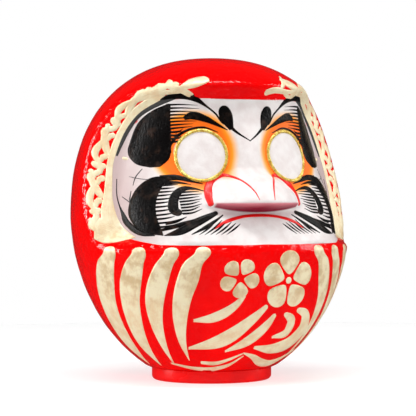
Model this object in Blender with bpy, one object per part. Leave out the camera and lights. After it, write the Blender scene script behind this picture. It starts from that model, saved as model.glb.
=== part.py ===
"""Daruma doll: a hollow papier-mache figure of a hooded monk, glued onto a weighted base ring.

The origin is on the table, under the middle of the doll. +Z is up and the doll faces -Y, so its own
left side is at +X. The form is worked out in millimetres; meshes are written in metres.
"""

import math

import bmesh
import bpy
import numpy as np
from mathutils import Matrix, Vector

MM = 0.001

# Overall sizes of the pressed body.
HEIGHT = 300.0
WIDTH = 268.0
DEPTH = 240.0

# Wall, joint and paper thicknesses.
WALL = 2.2
FIT_GAP = 0.3
SEAM_Y = 2.0
TAPE_WIDTH = 22.0
TAPE_THICKNESS = 0.8

# Base ring, the clay weight in it and the disc under it.
BASE_RADIUS = 56.0
BASE_HEIGHT = 12.0
BASE_EDGE_RADIUS = 4.0
BASE_BORE_RADIUS = 40.0
BASE_RIM_WIDTH = 9.0
BASE_TOP_ROUNDING = 1.0
OPENING_CLEARANCE = 2.0
BOTTOM_PAPER_THICKNESS = 0.7
BOTTOM_PAPER_INSET = 0.6
BALLAST_HEIGHT = 26.0
BALLAST_DOWEL_HOLE = 6.0
BALLAST_ROUNDING = 7.0

# Eyes: low domes, each inside a bead of gold paste.
EYE_RADIUS = 21.5
EYE_DOME = 1.6
EYE_CLEARING = 10.0
RIM_WIDTH = 3.2
RIM_HEIGHT = 1.3
RIM_GAP = 0.6
EYE_X, EYE_Z = 43.4, 207.7
EYE_TURN = math.radians(19.0)
EYE_TILT = math.radians(6.6)

# The form is drawn at this size, and stretched to the overall sizes above.
DRAWN_HEIGHT, DRAWN_WIDTH, DRAWN_DEPTH = 300.0, 268.0, 240.0
STRETCH = np.array([WIDTH / DRAWN_WIDTH, DEPTH / DRAWN_DEPTH, HEIGHT / DRAWN_HEIGHT])

# Egg: widest level, dome above it, bowl below it, and how much flatter it is front to back.
WIDEST_LEVEL = 155.0
DOME_POWER, DOME_SQUARENESS = 2.2, 2.33
BOWL_TAPER, BOWL_POWER = 0.93, 1.85
FLATTENING, FLATTENING_LEVELS = 0.11, (20.0, 170.0, 300.0)

# Hood opening: a visor above the face, a sill below it and a slanted band on each side.
VISOR_LEVEL, VISOR_RADIUS, VISOR_SLOPE = 273.0, 91.0, 0.76
SILL_LEVEL, SILL_RADIUS, SILL_SLOPE = 125.0, 132.0, 1.6
BAND_TURN = math.radians(32.0)
BAND_OFFSET, BAND_LEAN, BAND_LEAN_LEVEL, BAND_BEND = 69.0, 0.26, 225.0, 30.0
OPENING_FLOOR, FLOOR_BEND = -48.0, 8.0
VISOR_CORNER, SILL_CORNER = 26.0, 12.0
CREST_FILLET, VALLEY_FILLET = 7.0, 2.5

# Face: a swelling panel, its nose bridge, and a muzzle that overhangs the mouth.
PANEL_TOP, PANEL_BOTTOM = 268.0, 128.0
PANEL_WIDTHS, PANEL_WIDTH_LEVELS = (111.0, 87.0), (170.0, 262.0)
PANEL_DEPTH, PANEL_SWELL, PANEL_SWELL_LEVEL, PANEL_SWELL_POWER = 76.0, 0.000858, 257.0, 2.2
PANEL_POWERS, PANEL_POWER_LEVELS = (2.5, 2.0), (150.0, 190.0)
BRIDGE_HEIGHT, BRIDGE_REACH, BRIDGE_LEVELS = 7.5, 13.0, (262.0, 205.0)
MUZZLE_HEIGHT, MUZZLE_HALF_WIDTH, MUZZLE_RISE = 26.5, 50.0, 31.0
MUZZLE_EDGE, MUZZLE_EDGE_SAG = 166.5, 2.5
UNDERCUT_MIDDLE, UNDERCUT_SIDE = 11.0, 2.5
MOUTH_HOLLOW, MOUTH_LEVEL, MOUTH_REACH, MOUTH_HALF_WIDTH = 2.0, 157.5, 4.0, 42.0
CHIN_RISE, CHIN_LEVEL, CHIN_REACH = 3.0, 147.0, 11.0
RELIEF_FILLET = 6.0

# The point inside the doll from which the whole surface can be seen.
HEART = np.array([0.0, 20.0, 185.0])
MERIDIANS, PARALLELS = 48, 32
FRONT_BIAS, MIDDLE_BIAS = 0.45, 0.4
EYE_REFINED_MARGIN = 9.3
MOUTH_REFINED_HEIGHT = 16.0


def smoothstep(low, high, value):
    """Rise smoothly from 0 at low to 1 at high."""
    t = np.clip((value - low) / (high - low), 0.0, 1.0)
    return t * t * (3.0 - 2.0 * t)


def smooth_min(a, b, radius):
    """Minimum of a and b with its corner rounded off."""
    h = np.clip(0.5 + 0.5 * (b - a) / radius, 0.0, 1.0)
    return b + (a - b) * h - radius * h * (1.0 - h)


def smooth_max(a, b, radius):
    """Maximum of a and b with its corner rounded off."""
    return -smooth_min(-a, -b, radius)


def egg_half_width(z):
    """Half width of the egg at height z."""
    up = np.clip((z - WIDEST_LEVEL) / (DRAWN_HEIGHT - WIDEST_LEVEL), 0.0, 1.0)
    down = np.clip((WIDEST_LEVEL - z) / WIDEST_LEVEL, 0.0, None)
    dome = (1.0 - up**DOME_POWER) ** (1.0 / DOME_SQUARENESS)
    bowl = np.sqrt(np.clip(1.0 - BOWL_TAPER * down**BOWL_POWER, 0.0, None))
    return 0.5 * DRAWN_WIDTH * np.where(z > WIDEST_LEVEL, dome, bowl)


def egg_reach(x, y, z):
    """Distance from the axis, counted so that the flattened egg is round."""
    foot, middle, crown = FLATTENING_LEVELS
    flattening = FLATTENING * (smoothstep(foot, middle, z) - smoothstep(middle, crown, z))
    return np.hypot(x, y / (1.0 - flattening))


def hood_opening(x, y, z, reach):
    """Negative inside the space that is taken out of the egg in front of the face."""
    visor = VISOR_RADIUS - VISOR_SLOPE * (VISOR_LEVEL - z) - reach
    sill = SILL_RADIUS - SILL_SLOPE * (z - SILL_LEVEL) - reach
    lean = smooth_max(BAND_LEAN_LEVEL - z, 0.0, BAND_BEND)
    offset = BAND_OFFSET + BAND_LEAN * lean
    band_y = -(offset - math.sin(BAND_TURN) * np.abs(x)) / math.cos(BAND_TURN)
    band = (y - smooth_max(band_y, OPENING_FLOOR, FLOOR_BEND)) * math.cos(BAND_TURN)
    return smooth_max(smooth_max(visor, band, VISOR_CORNER), sill, SILL_CORNER)


def face_relief(x, z):
    """How far bridge, muzzle, mouth and chin stand out of the face panel."""
    side = np.abs(x)
    bridge = BRIDGE_HEIGHT * smoothstep(*BRIDGE_LEVELS, z) * np.exp(-((side / BRIDGE_REACH) ** 2))
    outwards = (side / MUZZLE_HALF_WIDTH) ** 2
    edge = MUZZLE_EDGE - MUZZLE_EDGE_SAG * outwards
    above = np.clip(z - edge, 0.0, None) / MUZZLE_RISE
    arch = np.clip(1.0 - outwards - above**2, 0.0, None)
    undercut = UNDERCUT_MIDDLE + (UNDERCUT_SIDE - UNDERCUT_MIDDLE) * np.clip(outwards, 0.0, 1.0)
    muzzle = MUZZLE_HEIGHT * arch * smoothstep(edge - undercut, edge, z)
    within = smoothstep(MUZZLE_HALF_WIDTH, 0.5 * MOUTH_HALF_WIDTH, side)
    hollow = MOUTH_HOLLOW * np.exp(-(((z - MOUTH_LEVEL) / MOUTH_REACH) ** 2)) * within
    chin = CHIN_RISE * np.exp(-(((z - CHIN_LEVEL) / CHIN_REACH) ** 2)) * within
    above_muzzle = smoothstep(MUZZLE_EDGE - UNDERCUT_MIDDLE, MUZZLE_EDGE, z)
    return smooth_max(bridge * above_muzzle, muzzle, RELIEF_FILLET) - hollow + chin


def between(values, levels, z):
    """Ease from the first value, at and below the low level, to the second one."""
    return values[0] + (values[1] - values[0]) * smoothstep(*levels, z)


def panel_depth(z):
    """How far the plain face panel stands in front of the doll's axis."""
    drop = np.clip(PANEL_SWELL_LEVEL - z, 0.0, None)
    return PANEL_DEPTH + PANEL_SWELL * drop**PANEL_SWELL_POWER


def face_panel(x, y, z):
    """Negative inside the face: a column whose front swells forward towards the chin."""
    half_width = between(PANEL_WIDTHS, PANEL_WIDTH_LEVELS, z)
    power = between(PANEL_POWERS, PANEL_POWER_LEVELS, z)
    from_eye = np.hypot(np.abs(x) - EYE_X, z - EYE_Z)
    rim = EYE_RADIUS + RIM_WIDTH
    depth = panel_depth(z)
    depth += face_relief(x, z) * smoothstep(rim, rim + EYE_CLEARING, from_eye)
    depth += EYE_DOME * np.sqrt(np.clip(1.0 - (from_eye / EYE_RADIUS) ** 2, 0.0, None))
    front = np.clip(-y, 0.0, None)
    share = ((np.abs(x) / half_width) ** power + (front / depth) ** power) ** (1.0 / power)
    panel = np.maximum((share - 1.0) * depth, y)
    return np.maximum(panel, np.maximum(z - PANEL_TOP, PANEL_BOTTOM - z))


def body_level(points):
    """Signed level of the body at an array of points: negative inside, zero on the surface."""
    x, y, z = (points / STRETCH).T
    reach = egg_reach(x, y, z)
    egg = reach - egg_half_width(z)
    hood = smooth_max(egg, -hood_opening(x, y, z, reach), CREST_FILLET)
    body = smooth_min(hood, face_panel(x, y, z), VALLEY_FILLET)
    return np.maximum(body, BASE_HEIGHT + FIT_GAP - points[:, 2])


def eye_axes(side):
    """Across, up and outward directions of one eye, as rows of an array."""
    outward = np.array(
        [
            side * math.sin(EYE_TURN) * math.cos(EYE_TILT),
            -math.cos(EYE_TURN) * math.cos(EYE_TILT),
            math.sin(EYE_TILT),
        ]
    )
    across = np.array([math.cos(EYE_TURN), side * math.sin(EYE_TURN), 0.0])
    return np.array([across, np.cross(outward, across), outward])


def eye_centre(side):
    """Middle of an eye, on the face panel."""
    half_width = between(PANEL_WIDTHS, PANEL_WIDTH_LEVELS, EYE_Z)
    y = -panel_depth(EYE_Z) * math.sqrt(1.0 - (EYE_X / half_width) ** 2)
    return np.array([side * EYE_X, y, EYE_Z]) * STRETCH


def surface_along(starts, directions, farthest=HEIGHT, steps=40):
    """First place outside the body along each direction, by halving the interval."""
    low = np.zeros(len(starts))
    high = np.full(len(starts), farthest)
    for _ in range(steps):
        middle = 0.5 * (low + high)
        outside = body_level(starts + directions * middle[:, None]) > 0.0
        high = np.where(outside, middle, high)
        low = np.where(outside, low, middle)
    return starts + directions * high[:, None]


def material(name, colour, roughness, metallic=0.0):
    """Principled material with one colour."""
    made = bpy.data.materials.new(name)
    made.use_nodes = True
    shader = made.node_tree.nodes["Principled BSDF"]
    shader.inputs["Base Color"].default_value = (*colour, 1.0)
    shader.inputs["Roughness"].default_value = roughness
    shader.inputs["Metallic"].default_value = metallic
    made.diffuse_color = (*colour, 1.0)
    return made


def add_object(name, bm, finish=None, smooth_angle=math.radians(40.0)):
    """Turn a bmesh in millimetres into a smooth shaded object in metres."""
    bmesh.ops.transform(bm, matrix=Matrix.Scale(MM, 4), verts=bm.verts)
    mesh = bpy.data.meshes.new(name)
    bm.to_mesh(mesh)
    bm.free()
    mesh.shade_smooth()
    mesh.set_sharp_from_angle(angle=smooth_angle)
    thing = bpy.data.objects.new(name, mesh)
    bpy.context.scene.collection.objects.link(thing)
    if finish:
        mesh.materials.append(finish)
    return thing


def press(bm):
    """Push every vertex along its ray from the heart onto the body's surface."""
    heart = HEART * STRETCH
    rays = np.array([vert.co for vert in bm.verts]) - heart
    rays /= np.linalg.norm(rays, axis=1)[:, None]
    starts = np.tile(heart, (len(rays), 1))
    for vert, place in zip(bm.verts, surface_along(starts, rays)):
        vert.co = Vector(place)


def needs_detail(point):
    """True close to an eye or to the lower edge of the muzzle."""
    eyes = min(np.linalg.norm(np.array(point) - eye_centre(side)) for side in (-1, 1))
    x, y, z = np.array(point) / STRETCH
    mouth = y < 0.0 and abs(x) < MUZZLE_HALF_WIDTH
    mouth = mouth and abs(z - MUZZLE_EDGE + 0.5 * UNDERCUT_MIDDLE) < MOUTH_REFINED_HEIGHT
    return mouth or eyes < EYE_RADIUS + RIM_WIDTH + EYE_REFINED_MARGIN


def body_bmesh(inset=0.0):
    """Closed mesh of the body's outer surface, moved inwards along its normals by inset."""
    bm = bmesh.new()
    bmesh.ops.create_uvsphere(bm, u_segments=MERIDIANS, v_segments=PARALLELS, radius=1.0)
    for vert in bm.verts:
        turn = math.atan2(vert.co.x, -vert.co.y)
        rise = math.asin(max(-1.0, min(1.0, vert.co.z)))
        turn -= FRONT_BIAS * math.sin(turn)
        rise -= 0.5 * MIDDLE_BIAS * math.sin(2.0 * rise)
        flat = math.cos(rise)
        ray = Vector((flat * math.sin(turn), -flat * math.cos(turn), math.sin(rise)))
        vert.co = Vector(HEART * STRETCH) + ray
    press(bm)
    fine = [edge for edge in bm.edges if all(needs_detail(vert.co) for vert in edge.verts)]
    bmesh.ops.subdivide_edges(bm, edges=fine, cuts=1, use_grid_fill=True)
    press(bm)
    bmesh.ops.triangulate(bm, faces=bm.faces)
    bm.normal_update()
    moves = [(vert, vert.normal * inset) for vert in bm.verts]
    for vert, move in moves:
        vert.co -= move
    return bm


def slab_cutter(name, front, back):
    """Hidden box wider and taller than the doll, from one y to another."""
    bm = bmesh.new()
    bmesh.ops.create_cube(bm, size=1.0)
    low, high = Vector((-WIDTH, front, -HEIGHT)), Vector((WIDTH, back, 2.0 * HEIGHT))
    bmesh.ops.transform(bm, matrix=Matrix.Diagonal((*(high - low), 1.0)), verts=bm.verts)
    bmesh.ops.translate(bm, verts=bm.verts, vec=(low + high) / 2.0)
    return hide_cutter(add_object(name, bm))


def round_cutter(name, radius, low, high):
    """Hidden upright cylinder round the doll's axis."""
    bm = bmesh.new()
    bmesh.ops.create_cone(
        bm, cap_ends=True, segments=64, radius1=radius, radius2=radius, depth=high - low
    )
    bmesh.ops.translate(bm, verts=bm.verts, vec=(0.0, 0.0, (low + high) / 2.0))
    return hide_cutter(add_object(name, bm))


def hide_cutter(cutter):
    """Keep a cutting shape out of the model itself."""
    cutter.hide_render = True
    cutter.display_type = "WIRE"
    return cutter


def thicken(thing, thickness):
    """Give a closed surface a wall that grows inwards."""
    wall = thing.modifiers.new("wall", "SOLIDIFY")
    wall.thickness = thickness * MM
    wall.offset = -1.0
    wall.use_even_offset = False


def cut(thing, cutter, operation="DIFFERENCE"):
    """Boolean against a hidden cutter."""
    step = thing.modifiers.new(cutter.name, "BOOLEAN")
    step.operation = operation
    step.solver = "EXACT"
    step.object = cutter


def ring_bmesh(profile, segments):
    """Turn a closed (radius, height) outline all the way round the axis."""
    bm = bmesh.new()
    verts = [bm.verts.new((radius, 0.0, height)) for radius, height in profile]
    edges = [bm.edges.new((a, b)) for a, b in zip(verts, verts[1:] + verts[:1])]
    bmesh.ops.spin(
        bm,
        geom=verts + edges,
        cent=(0.0, 0.0, 0.0),
        axis=(0.0, 0.0, 1.0),
        angle=2.0 * math.pi,
        steps=segments,
        use_merge=True,
    )
    bmesh.ops.recalc_face_normals(bm, faces=bm.faces)
    return bm


def arc(centre_radius, centre_height, radius, start, end, points):
    """Points of a fillet in a turned outline, angles in degrees."""
    for index in range(points + 1):
        angle = math.radians(start + (end - start) * index / points)
        yield centre_radius + radius * math.cos(angle), centre_height + radius * math.sin(angle)


def build_shells(red_paint):
    """Front and back halves of the body, open at the floor where the ballast passes."""
    opening = round_cutter(
        "floor_opening", BASE_BORE_RADIUS + OPENING_CLEARANCE, 0.0, BASE_HEIGHT + 5.0 * WALL
    )
    front_room = slab_cutter("front_room", -DEPTH, SEAM_Y + FIT_GAP / 2.0)
    back_room = slab_cutter("back_room", SEAM_Y - FIT_GAP / 2.0, DEPTH)
    for name, room in (("front_shell", back_room), ("back_shell", front_room)):
        shell = add_object(name, body_bmesh(), red_paint)
        thicken(shell, WALL)
        cut(shell, opening)
        cut(shell, room)
    return opening


def build_seam_tape(paper, opening):
    """Paper strip pasted inside, across the joint of the two shells."""
    tape = add_object("seam_tape", body_bmesh(inset=WALL + FIT_GAP), paper)
    thicken(tape, TAPE_THICKNESS)
    strip = slab_cutter("tape_strip", SEAM_Y - TAPE_WIDTH / 2.0, SEAM_Y + TAPE_WIDTH / 2.0)
    cut(tape, opening)
    cut(tape, strip, "INTERSECT")


def build_base(red_paint, clay, paper):
    """Base ring, the clay weight in its bore, and the paper disc under it."""
    recess_radius = BASE_RADIUS - BASE_RIM_WIDTH
    recess_depth = BOTTOM_PAPER_INSET + BOTTOM_PAPER_THICKNESS + FIT_GAP
    profile = [(recess_radius, recess_depth), (recess_radius, 0.0)]
    profile += arc(BASE_RADIUS - BASE_EDGE_RADIUS, BASE_EDGE_RADIUS, BASE_EDGE_RADIUS, -90, 0, 5)
    rounding = BASE_TOP_ROUNDING
    profile += arc(BASE_RADIUS - rounding, BASE_HEIGHT - rounding, rounding, 0, 90, 2)
    profile += [(BASE_BORE_RADIUS, BASE_HEIGHT), (BASE_BORE_RADIUS, recess_depth)]
    add_object("base_ring", ring_bmesh(profile, 48), red_paint)

    outer = BASE_BORE_RADIUS - FIT_GAP
    top = recess_depth + BALLAST_HEIGHT
    profile = [(BALLAST_DOWEL_HOLE, recess_depth), (outer, recess_depth)]
    profile += arc(outer - BALLAST_ROUNDING, top - BALLAST_ROUNDING, BALLAST_ROUNDING, 0, 90, 4)
    profile += [(BALLAST_DOWEL_HOLE, top)]
    add_object("ballast", ring_bmesh(profile, 40), clay)

    bm = bmesh.new()
    bmesh.ops.create_cone(
        bm,
        cap_ends=True,
        segments=48,
        radius1=recess_radius - FIT_GAP,
        radius2=recess_radius - FIT_GAP,
        depth=BOTTOM_PAPER_THICKNESS,
    )
    middle = BOTTOM_PAPER_INSET + BOTTOM_PAPER_THICKNESS / 2.0
    bmesh.ops.translate(bm, verts=bm.verts, vec=(0.0, 0.0, middle))
    add_object("bottom_paper", bm, paper)


def build_eye_rim(name, side, gold):
    """Bead of gold paste that lies on the body round one eye."""
    radius = EYE_RADIUS + RIM_WIDTH / 2.0
    profile = [
        (radius + 0.5 * RIM_WIDTH * math.cos(angle), RIM_HEIGHT * math.sin(angle))
        for angle in (math.pi * index / 5.0 for index in range(6))
    ]
    bm = ring_bmesh(profile, 40)
    axes = eye_axes(side)
    flat = np.array([(vert.co.x, vert.co.y, 0.0) for vert in bm.verts])
    rises = np.array([vert.co.z for vert in bm.verts])
    starts = eye_centre(side) + flat @ axes - EYE_RADIUS * axes[2]
    outward = np.tile(axes[2], (len(starts), 1))
    places = surface_along(starts, outward, farthest=2.0 * EYE_RADIUS)
    places += outward * (rises + RIM_GAP)[:, None]
    for vert, place in zip(bm.verts, places):
        vert.co = Vector(place)
    bmesh.ops.recalc_face_normals(bm, faces=bm.faces)
    add_object(name, bm, gold)


def main():
    """Clear the scene and build every piece of the doll."""
    for thing in list(bpy.data.objects):
        bpy.data.objects.remove(thing)
    red_paint = material("red_paint", (0.86, 0.004, 0.002), 0.22)
    paper = material("paper", (0.72, 0.66, 0.55), 0.9)
    clay = material("clay", (0.45, 0.33, 0.24), 0.95)
    gold = material("gold_paste", (0.80, 0.60, 0.22), 0.3, metallic=1.0)
    opening = build_shells(red_paint)
    build_seam_tape(paper, opening)
    build_base(red_paint, clay, paper)
    build_eye_rim("eye_rim_left", 1, gold)
    build_eye_rim("eye_rim_right", -1, gold)


main()
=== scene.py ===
"""Looks of the daruma doll: lacquered paper skin, brushed ink and gold, and a small pale studio.

Sizes are in millimetres until a mesh is finished, and in metres from there on. The doll faces -Y, +Z is
up, and its own left side is at +X.
"""

from __future__ import annotations

import logging
import math
from dataclasses import dataclass, replace
from enum import Enum
from typing import Iterable, Sequence

import bmesh
import bpy
import numpy as np
from mathutils import Matrix, Vector

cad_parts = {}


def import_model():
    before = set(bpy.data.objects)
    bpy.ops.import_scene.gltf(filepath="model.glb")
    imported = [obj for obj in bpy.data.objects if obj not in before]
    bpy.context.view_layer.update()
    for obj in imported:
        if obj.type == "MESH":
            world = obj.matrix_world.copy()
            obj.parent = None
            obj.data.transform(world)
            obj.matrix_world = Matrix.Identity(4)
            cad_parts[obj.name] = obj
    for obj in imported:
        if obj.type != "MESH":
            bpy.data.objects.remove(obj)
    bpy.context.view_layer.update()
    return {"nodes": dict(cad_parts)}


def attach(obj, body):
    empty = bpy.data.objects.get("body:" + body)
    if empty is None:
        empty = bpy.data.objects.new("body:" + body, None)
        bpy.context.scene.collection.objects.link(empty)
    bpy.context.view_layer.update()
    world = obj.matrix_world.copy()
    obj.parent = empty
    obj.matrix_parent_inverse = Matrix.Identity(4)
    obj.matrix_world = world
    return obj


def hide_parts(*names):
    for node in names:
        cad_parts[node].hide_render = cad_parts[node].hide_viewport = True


MM = 0.001
SIDES = (-1, 1)
FULL_TURN = 2.0 * math.pi
HALVINGS = 34  # of a ray's reach, until the skin is found

log = logging.getLogger("daruma")

Pair = tuple[float, float]


# ---------------------------------------------------------------------------------------------------
# Smooth arithmetic on arrays


def smoothstep(low: float, high: float, value: np.ndarray) -> np.ndarray:
    """Rise smoothly from 0 at low to 1 at high.

    Args:
        low: Value at which the step starts.
        high: Value at which it ends; it may be lower than low.
        value: What is stepped.

    Returns:
        Values from 0 to 1.
    """
    t = np.clip((value - low) / (high - low), 0.0, 1.0)
    return t * t * (3.0 - 2.0 * t)


def smooth_min(a: np.ndarray, b: np.ndarray, radius: float) -> np.ndarray:
    """Take the minimum of two levels with its corner rounded off.

    Args:
        a: First level.
        b: Second level.
        radius: Reach of the rounding.

    Returns:
        The joined level.
    """
    h = np.clip(0.5 + 0.5 * (b - a) / radius, 0.0, 1.0)
    return b + (a - b) * h - radius * h * (1.0 - h)


def smooth_max(a: np.ndarray, b: np.ndarray, radius: float) -> np.ndarray:
    """Take the maximum of two levels with its corner rounded off."""
    return -smooth_min(-a, -b, radius)


def ease(values: Pair, levels: Pair, z: np.ndarray) -> np.ndarray:
    """Ease from the first value, at and below the low level, to the second one."""
    return values[0] + (values[1] - values[0]) * smoothstep(*levels, z)


def spline(points: Sequence[Sequence[float]], shares: np.ndarray) -> np.ndarray:
    """Read a smooth curve through a few points.

    Args:
        points: The points that the curve passes.
        shares: Where to read it, as shares from 0 to 1 of its length.

    Returns:
        One row for each share.
    """
    knots_at = np.array(points, dtype=float)
    steps = np.linalg.norm(np.diff(knots_at[:, :2], axis=0), axis=1)
    knots = np.concatenate(([0.0], np.cumsum(steps))) / steps.sum()
    slopes = np.gradient(knots_at, knots, axis=0)
    first = np.clip(np.searchsorted(knots, shares, side="right") - 1, 0, len(knots) - 2)
    span = (knots[first + 1] - knots[first])[:, None]
    u = (shares[:, None] - knots[first][:, None]) / span
    return (
        (1.0 + 2.0 * u) * (1.0 - u) ** 2 * knots_at[first]
        + u * (1.0 - u) ** 2 * span * slopes[first]
        + u**2 * (3.0 - 2.0 * u) * knots_at[first + 1]
        - u**2 * (1.0 - u) * span * slopes[first + 1]
    )


# ---------------------------------------------------------------------------------------------------
# Form


@dataclass(frozen=True)
class DollForm:
    """Level function of the pressed paper body, the same form as the fixed frame's shells."""

    height: float = 300.0
    width: float = 268.0
    floor: float = 12.3
    wall: float = 2.2
    skin_inset: float = 0.52
    ripple: float = 0.1
    heart: tuple[float, float, float] = (0.0, 20.0, 185.0)

    widest_level: float = 155.0
    dome_power: float = 2.2
    dome_squareness: float = 2.33
    bowl_taper: float = 0.93
    bowl_power: float = 1.85
    flattening: float = 0.11
    flattening_levels: tuple[float, float, float] = (20.0, 170.0, 300.0)

    visor: tuple[float, float, float] = (91.0, 0.76, 273.0)
    sill: tuple[float, float, float] = (132.0, 1.6, 125.0)
    band_turn: float = math.radians(32.0)
    band_offset: float = 69.0
    band_lean: float = 0.26
    band_lean_level: float = 225.0
    band_bend: float = 30.0
    opening_floor: float = -48.0
    floor_bend: float = 8.0
    visor_corner: float = 26.0
    sill_corner: float = 12.0
    crest_fillet: float = 7.0
    valley_fillet: float = 2.5

    panel_levels: Pair = (128.0, 268.0)
    panel_widths: Pair = (111.0, 87.0)
    panel_width_levels: Pair = (170.0, 262.0)
    panel_depth: float = 76.0
    panel_swell: float = 0.000858
    panel_swell_level: float = 257.0
    panel_swell_power: float = 2.2
    panel_powers: Pair = (2.5, 2.0)
    panel_power_levels: Pair = (150.0, 190.0)

    bridge_height: float = 7.5
    bridge_reach: float = 13.0
    bridge_levels: Pair = (262.0, 205.0)
    muzzle_height: float = 26.1
    muzzle_half_width: float = 50.0
    muzzle_rise: float = 31.0
    muzzle_edge: float = 166.5
    muzzle_edge_sag: float = 2.5
    undercut_middle: float = 11.0
    undercut_side: float = 2.5
    mouth_hollow: float = 2.0
    mouth_level: float = 157.5
    mouth_reach: float = 4.0
    mouth_half_width: float = 42.0
    chin_rise: float = 3.0
    chin_level: float = 147.0
    chin_reach: float = 11.0
    relief_fillet: float = 6.0

    eye_radius: float = 21.5
    eye_dome: float = 1.6
    eye_clearing: float = 10.0
    eye_place: Pair = (43.4, 207.7)
    eye_turn: float = math.radians(19.0)
    eye_tilt: float = math.radians(6.6)
    rim_width: float = 3.2

    white_spill: float = 7.0
    spill_sides: Pair = (80.0, 100.0)
    spill_levels: Pair = (138.0, 152.0)
    corner_share: float = 0.3
    corner_sides: Pair = (68.0, 80.0)
    corner_levels: Pair = (225.0, 245.0)
    spill_end: Pair = (266.0, 258.0)

    def egg(self, x: np.ndarray, y: np.ndarray, z: np.ndarray) -> tuple[np.ndarray, np.ndarray]:
        """Reach of a point from the axis, and its level against the plain egg.

        Args:
            x, y, z: Coordinates of the points, in millimetres.

        Returns:
            The reach and the level, which is negative inside.
        """
        up = np.clip((z - self.widest_level) / (self.height - self.widest_level), 0.0, 1.0)
        down = np.clip((self.widest_level - z) / self.widest_level, 0.0, None)
        dome = (1.0 - up**self.dome_power) ** (1.0 / self.dome_squareness)
        bowl = np.sqrt(np.clip(1.0 - self.bowl_taper * down**self.bowl_power, 0.0, None))
        foot, middle, crown = self.flattening_levels
        flat = self.flattening * (smoothstep(foot, middle, z) - smoothstep(middle, crown, z))
        reach = np.hypot(x, y / (1.0 - flat))
        return reach, reach - 0.5 * self.width * np.where(z > self.widest_level, dome, bowl)

    def hood(self, x: np.ndarray, y: np.ndarray, z: np.ndarray) -> np.ndarray:
        """Level of the hooded egg without its face.

        Args:
            x, y, z: Coordinates of the points, in millimetres.

        Returns:
            The level, negative inside.
        """
        reach, egg = self.egg(x, y, z)
        visor_radius, visor_slope, visor_level = self.visor
        sill_radius, sill_slope, sill_level = self.sill
        visor = visor_radius - visor_slope * (visor_level - z) - reach
        sill = sill_radius - sill_slope * (z - sill_level) - reach
        lean = smooth_max(self.band_lean_level - z, 0.0, self.band_bend)
        offset = self.band_offset + self.band_lean * lean
        turn = self.band_turn
        band_y = -(offset - math.sin(turn) * np.abs(x)) / math.cos(turn)
        band = (y - smooth_max(band_y, self.opening_floor, self.floor_bend)) * math.cos(turn)
        opening = smooth_max(smooth_max(visor, band, self.visor_corner), sill, self.sill_corner)
        return smooth_max(egg, -opening, self.crest_fillet)

    def relief(self, x: np.ndarray, z: np.ndarray) -> np.ndarray:
        """How far bridge, muzzle, mouth and chin stand out of the face panel.

        Args:
            x, z: Coordinates of the points, in millimetres.

        Returns:
            The height of the relief.
        """
        side = np.abs(x)
        bridge = self.bridge_height * smoothstep(*self.bridge_levels, z)
        bridge = bridge * np.exp(-((side / self.bridge_reach) ** 2))
        outwards = (side / self.muzzle_half_width) ** 2
        edge = self.muzzle_edge - self.muzzle_edge_sag * outwards
        above = np.clip(z - edge, 0.0, None) / self.muzzle_rise
        arch = np.clip(1.0 - outwards - above**2, 0.0, None)
        taper = self.undercut_side - self.undercut_middle
        undercut = self.undercut_middle + taper * np.clip(outwards, 0.0, 1.0)
        muzzle = self.muzzle_height * arch * smoothstep(edge - undercut, edge, z)
        within = smoothstep(self.muzzle_half_width, 0.5 * self.mouth_half_width, side)
        hollow = np.exp(-(((z - self.mouth_level) / self.mouth_reach) ** 2))
        chin = np.exp(-(((z - self.chin_level) / self.chin_reach) ** 2))
        above_muzzle = smoothstep(self.muzzle_edge - self.undercut_middle, self.muzzle_edge, z)
        raised = smooth_max(bridge * above_muzzle, muzzle, self.relief_fillet)
        return raised + (self.chin_rise * chin - self.mouth_hollow * hollow) * within

    def plain_depth(self, z: np.ndarray) -> np.ndarray:
        """How far the plain face panel stands in front of the axis."""
        drop = np.clip(self.panel_swell_level - z, 0.0, None)
        return self.panel_depth + self.panel_swell * drop**self.panel_swell_power

    def face(self, x: np.ndarray, y: np.ndarray, z: np.ndarray) -> np.ndarray:
        """Level of the face: a column whose front swells forward towards the chin.

        Args:
            x, y, z: Coordinates of the points, in millimetres.

        Returns:
            The level, negative inside.
        """
        half_width = ease(self.panel_widths, self.panel_width_levels, z)
        power = ease(self.panel_powers, self.panel_power_levels, z)
        from_eye = np.hypot(np.abs(x) - self.eye_place[0], z - self.eye_place[1])
        rim = self.eye_radius + self.rim_width
        clear = smoothstep(rim, rim + self.eye_clearing, from_eye)
        dome = np.sqrt(np.clip(1.0 - (from_eye / self.eye_radius) ** 2, 0.0, None))
        depth = self.plain_depth(z) + self.relief(x, z) * clear + self.eye_dome * dome
        front = np.clip(-y, 0.0, None)
        share = ((np.abs(x) / half_width) ** power + (front / depth) ** power) ** (1.0 / power)
        low, high = self.panel_levels
        panel = np.maximum((share - 1.0) * depth, y)
        return np.maximum(panel, np.maximum(z - high, low - z))

    def unevenness(self, points: np.ndarray) -> np.ndarray:
        """Gentle hollows of hand-pressed paper, zero or more everywhere.

        Args:
            points: Places, one in each row.

        Returns:
            The depth of the hollows.
        """
        x, y, z = points.T
        broad = np.sin(x / 7.1 + np.sin(z / 9.7)) * np.sin(z / 6.3 + np.sin(y / 8.9))
        fine = np.sin(x / 2.9 + z / 4.1 + y / 3.3) * np.sin(z / 2.7 - y / 3.7)
        return self.ripple * (1.5 + broad + 0.5 * fine)

    def level(self, points: np.ndarray) -> np.ndarray:
        """Level of the painted skin at an array of points: negative inside, zero on it.

        Args:
            points: Places, one in each row.

        Returns:
            The level.
        """
        x, y, z = points.T
        body = smooth_min(self.hood(x, y, z), self.face(x, y, z), self.valley_fillet)
        body = body + self.skin_inset + self.unevenness(points)
        return np.maximum(body, self.floor - z)

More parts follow.
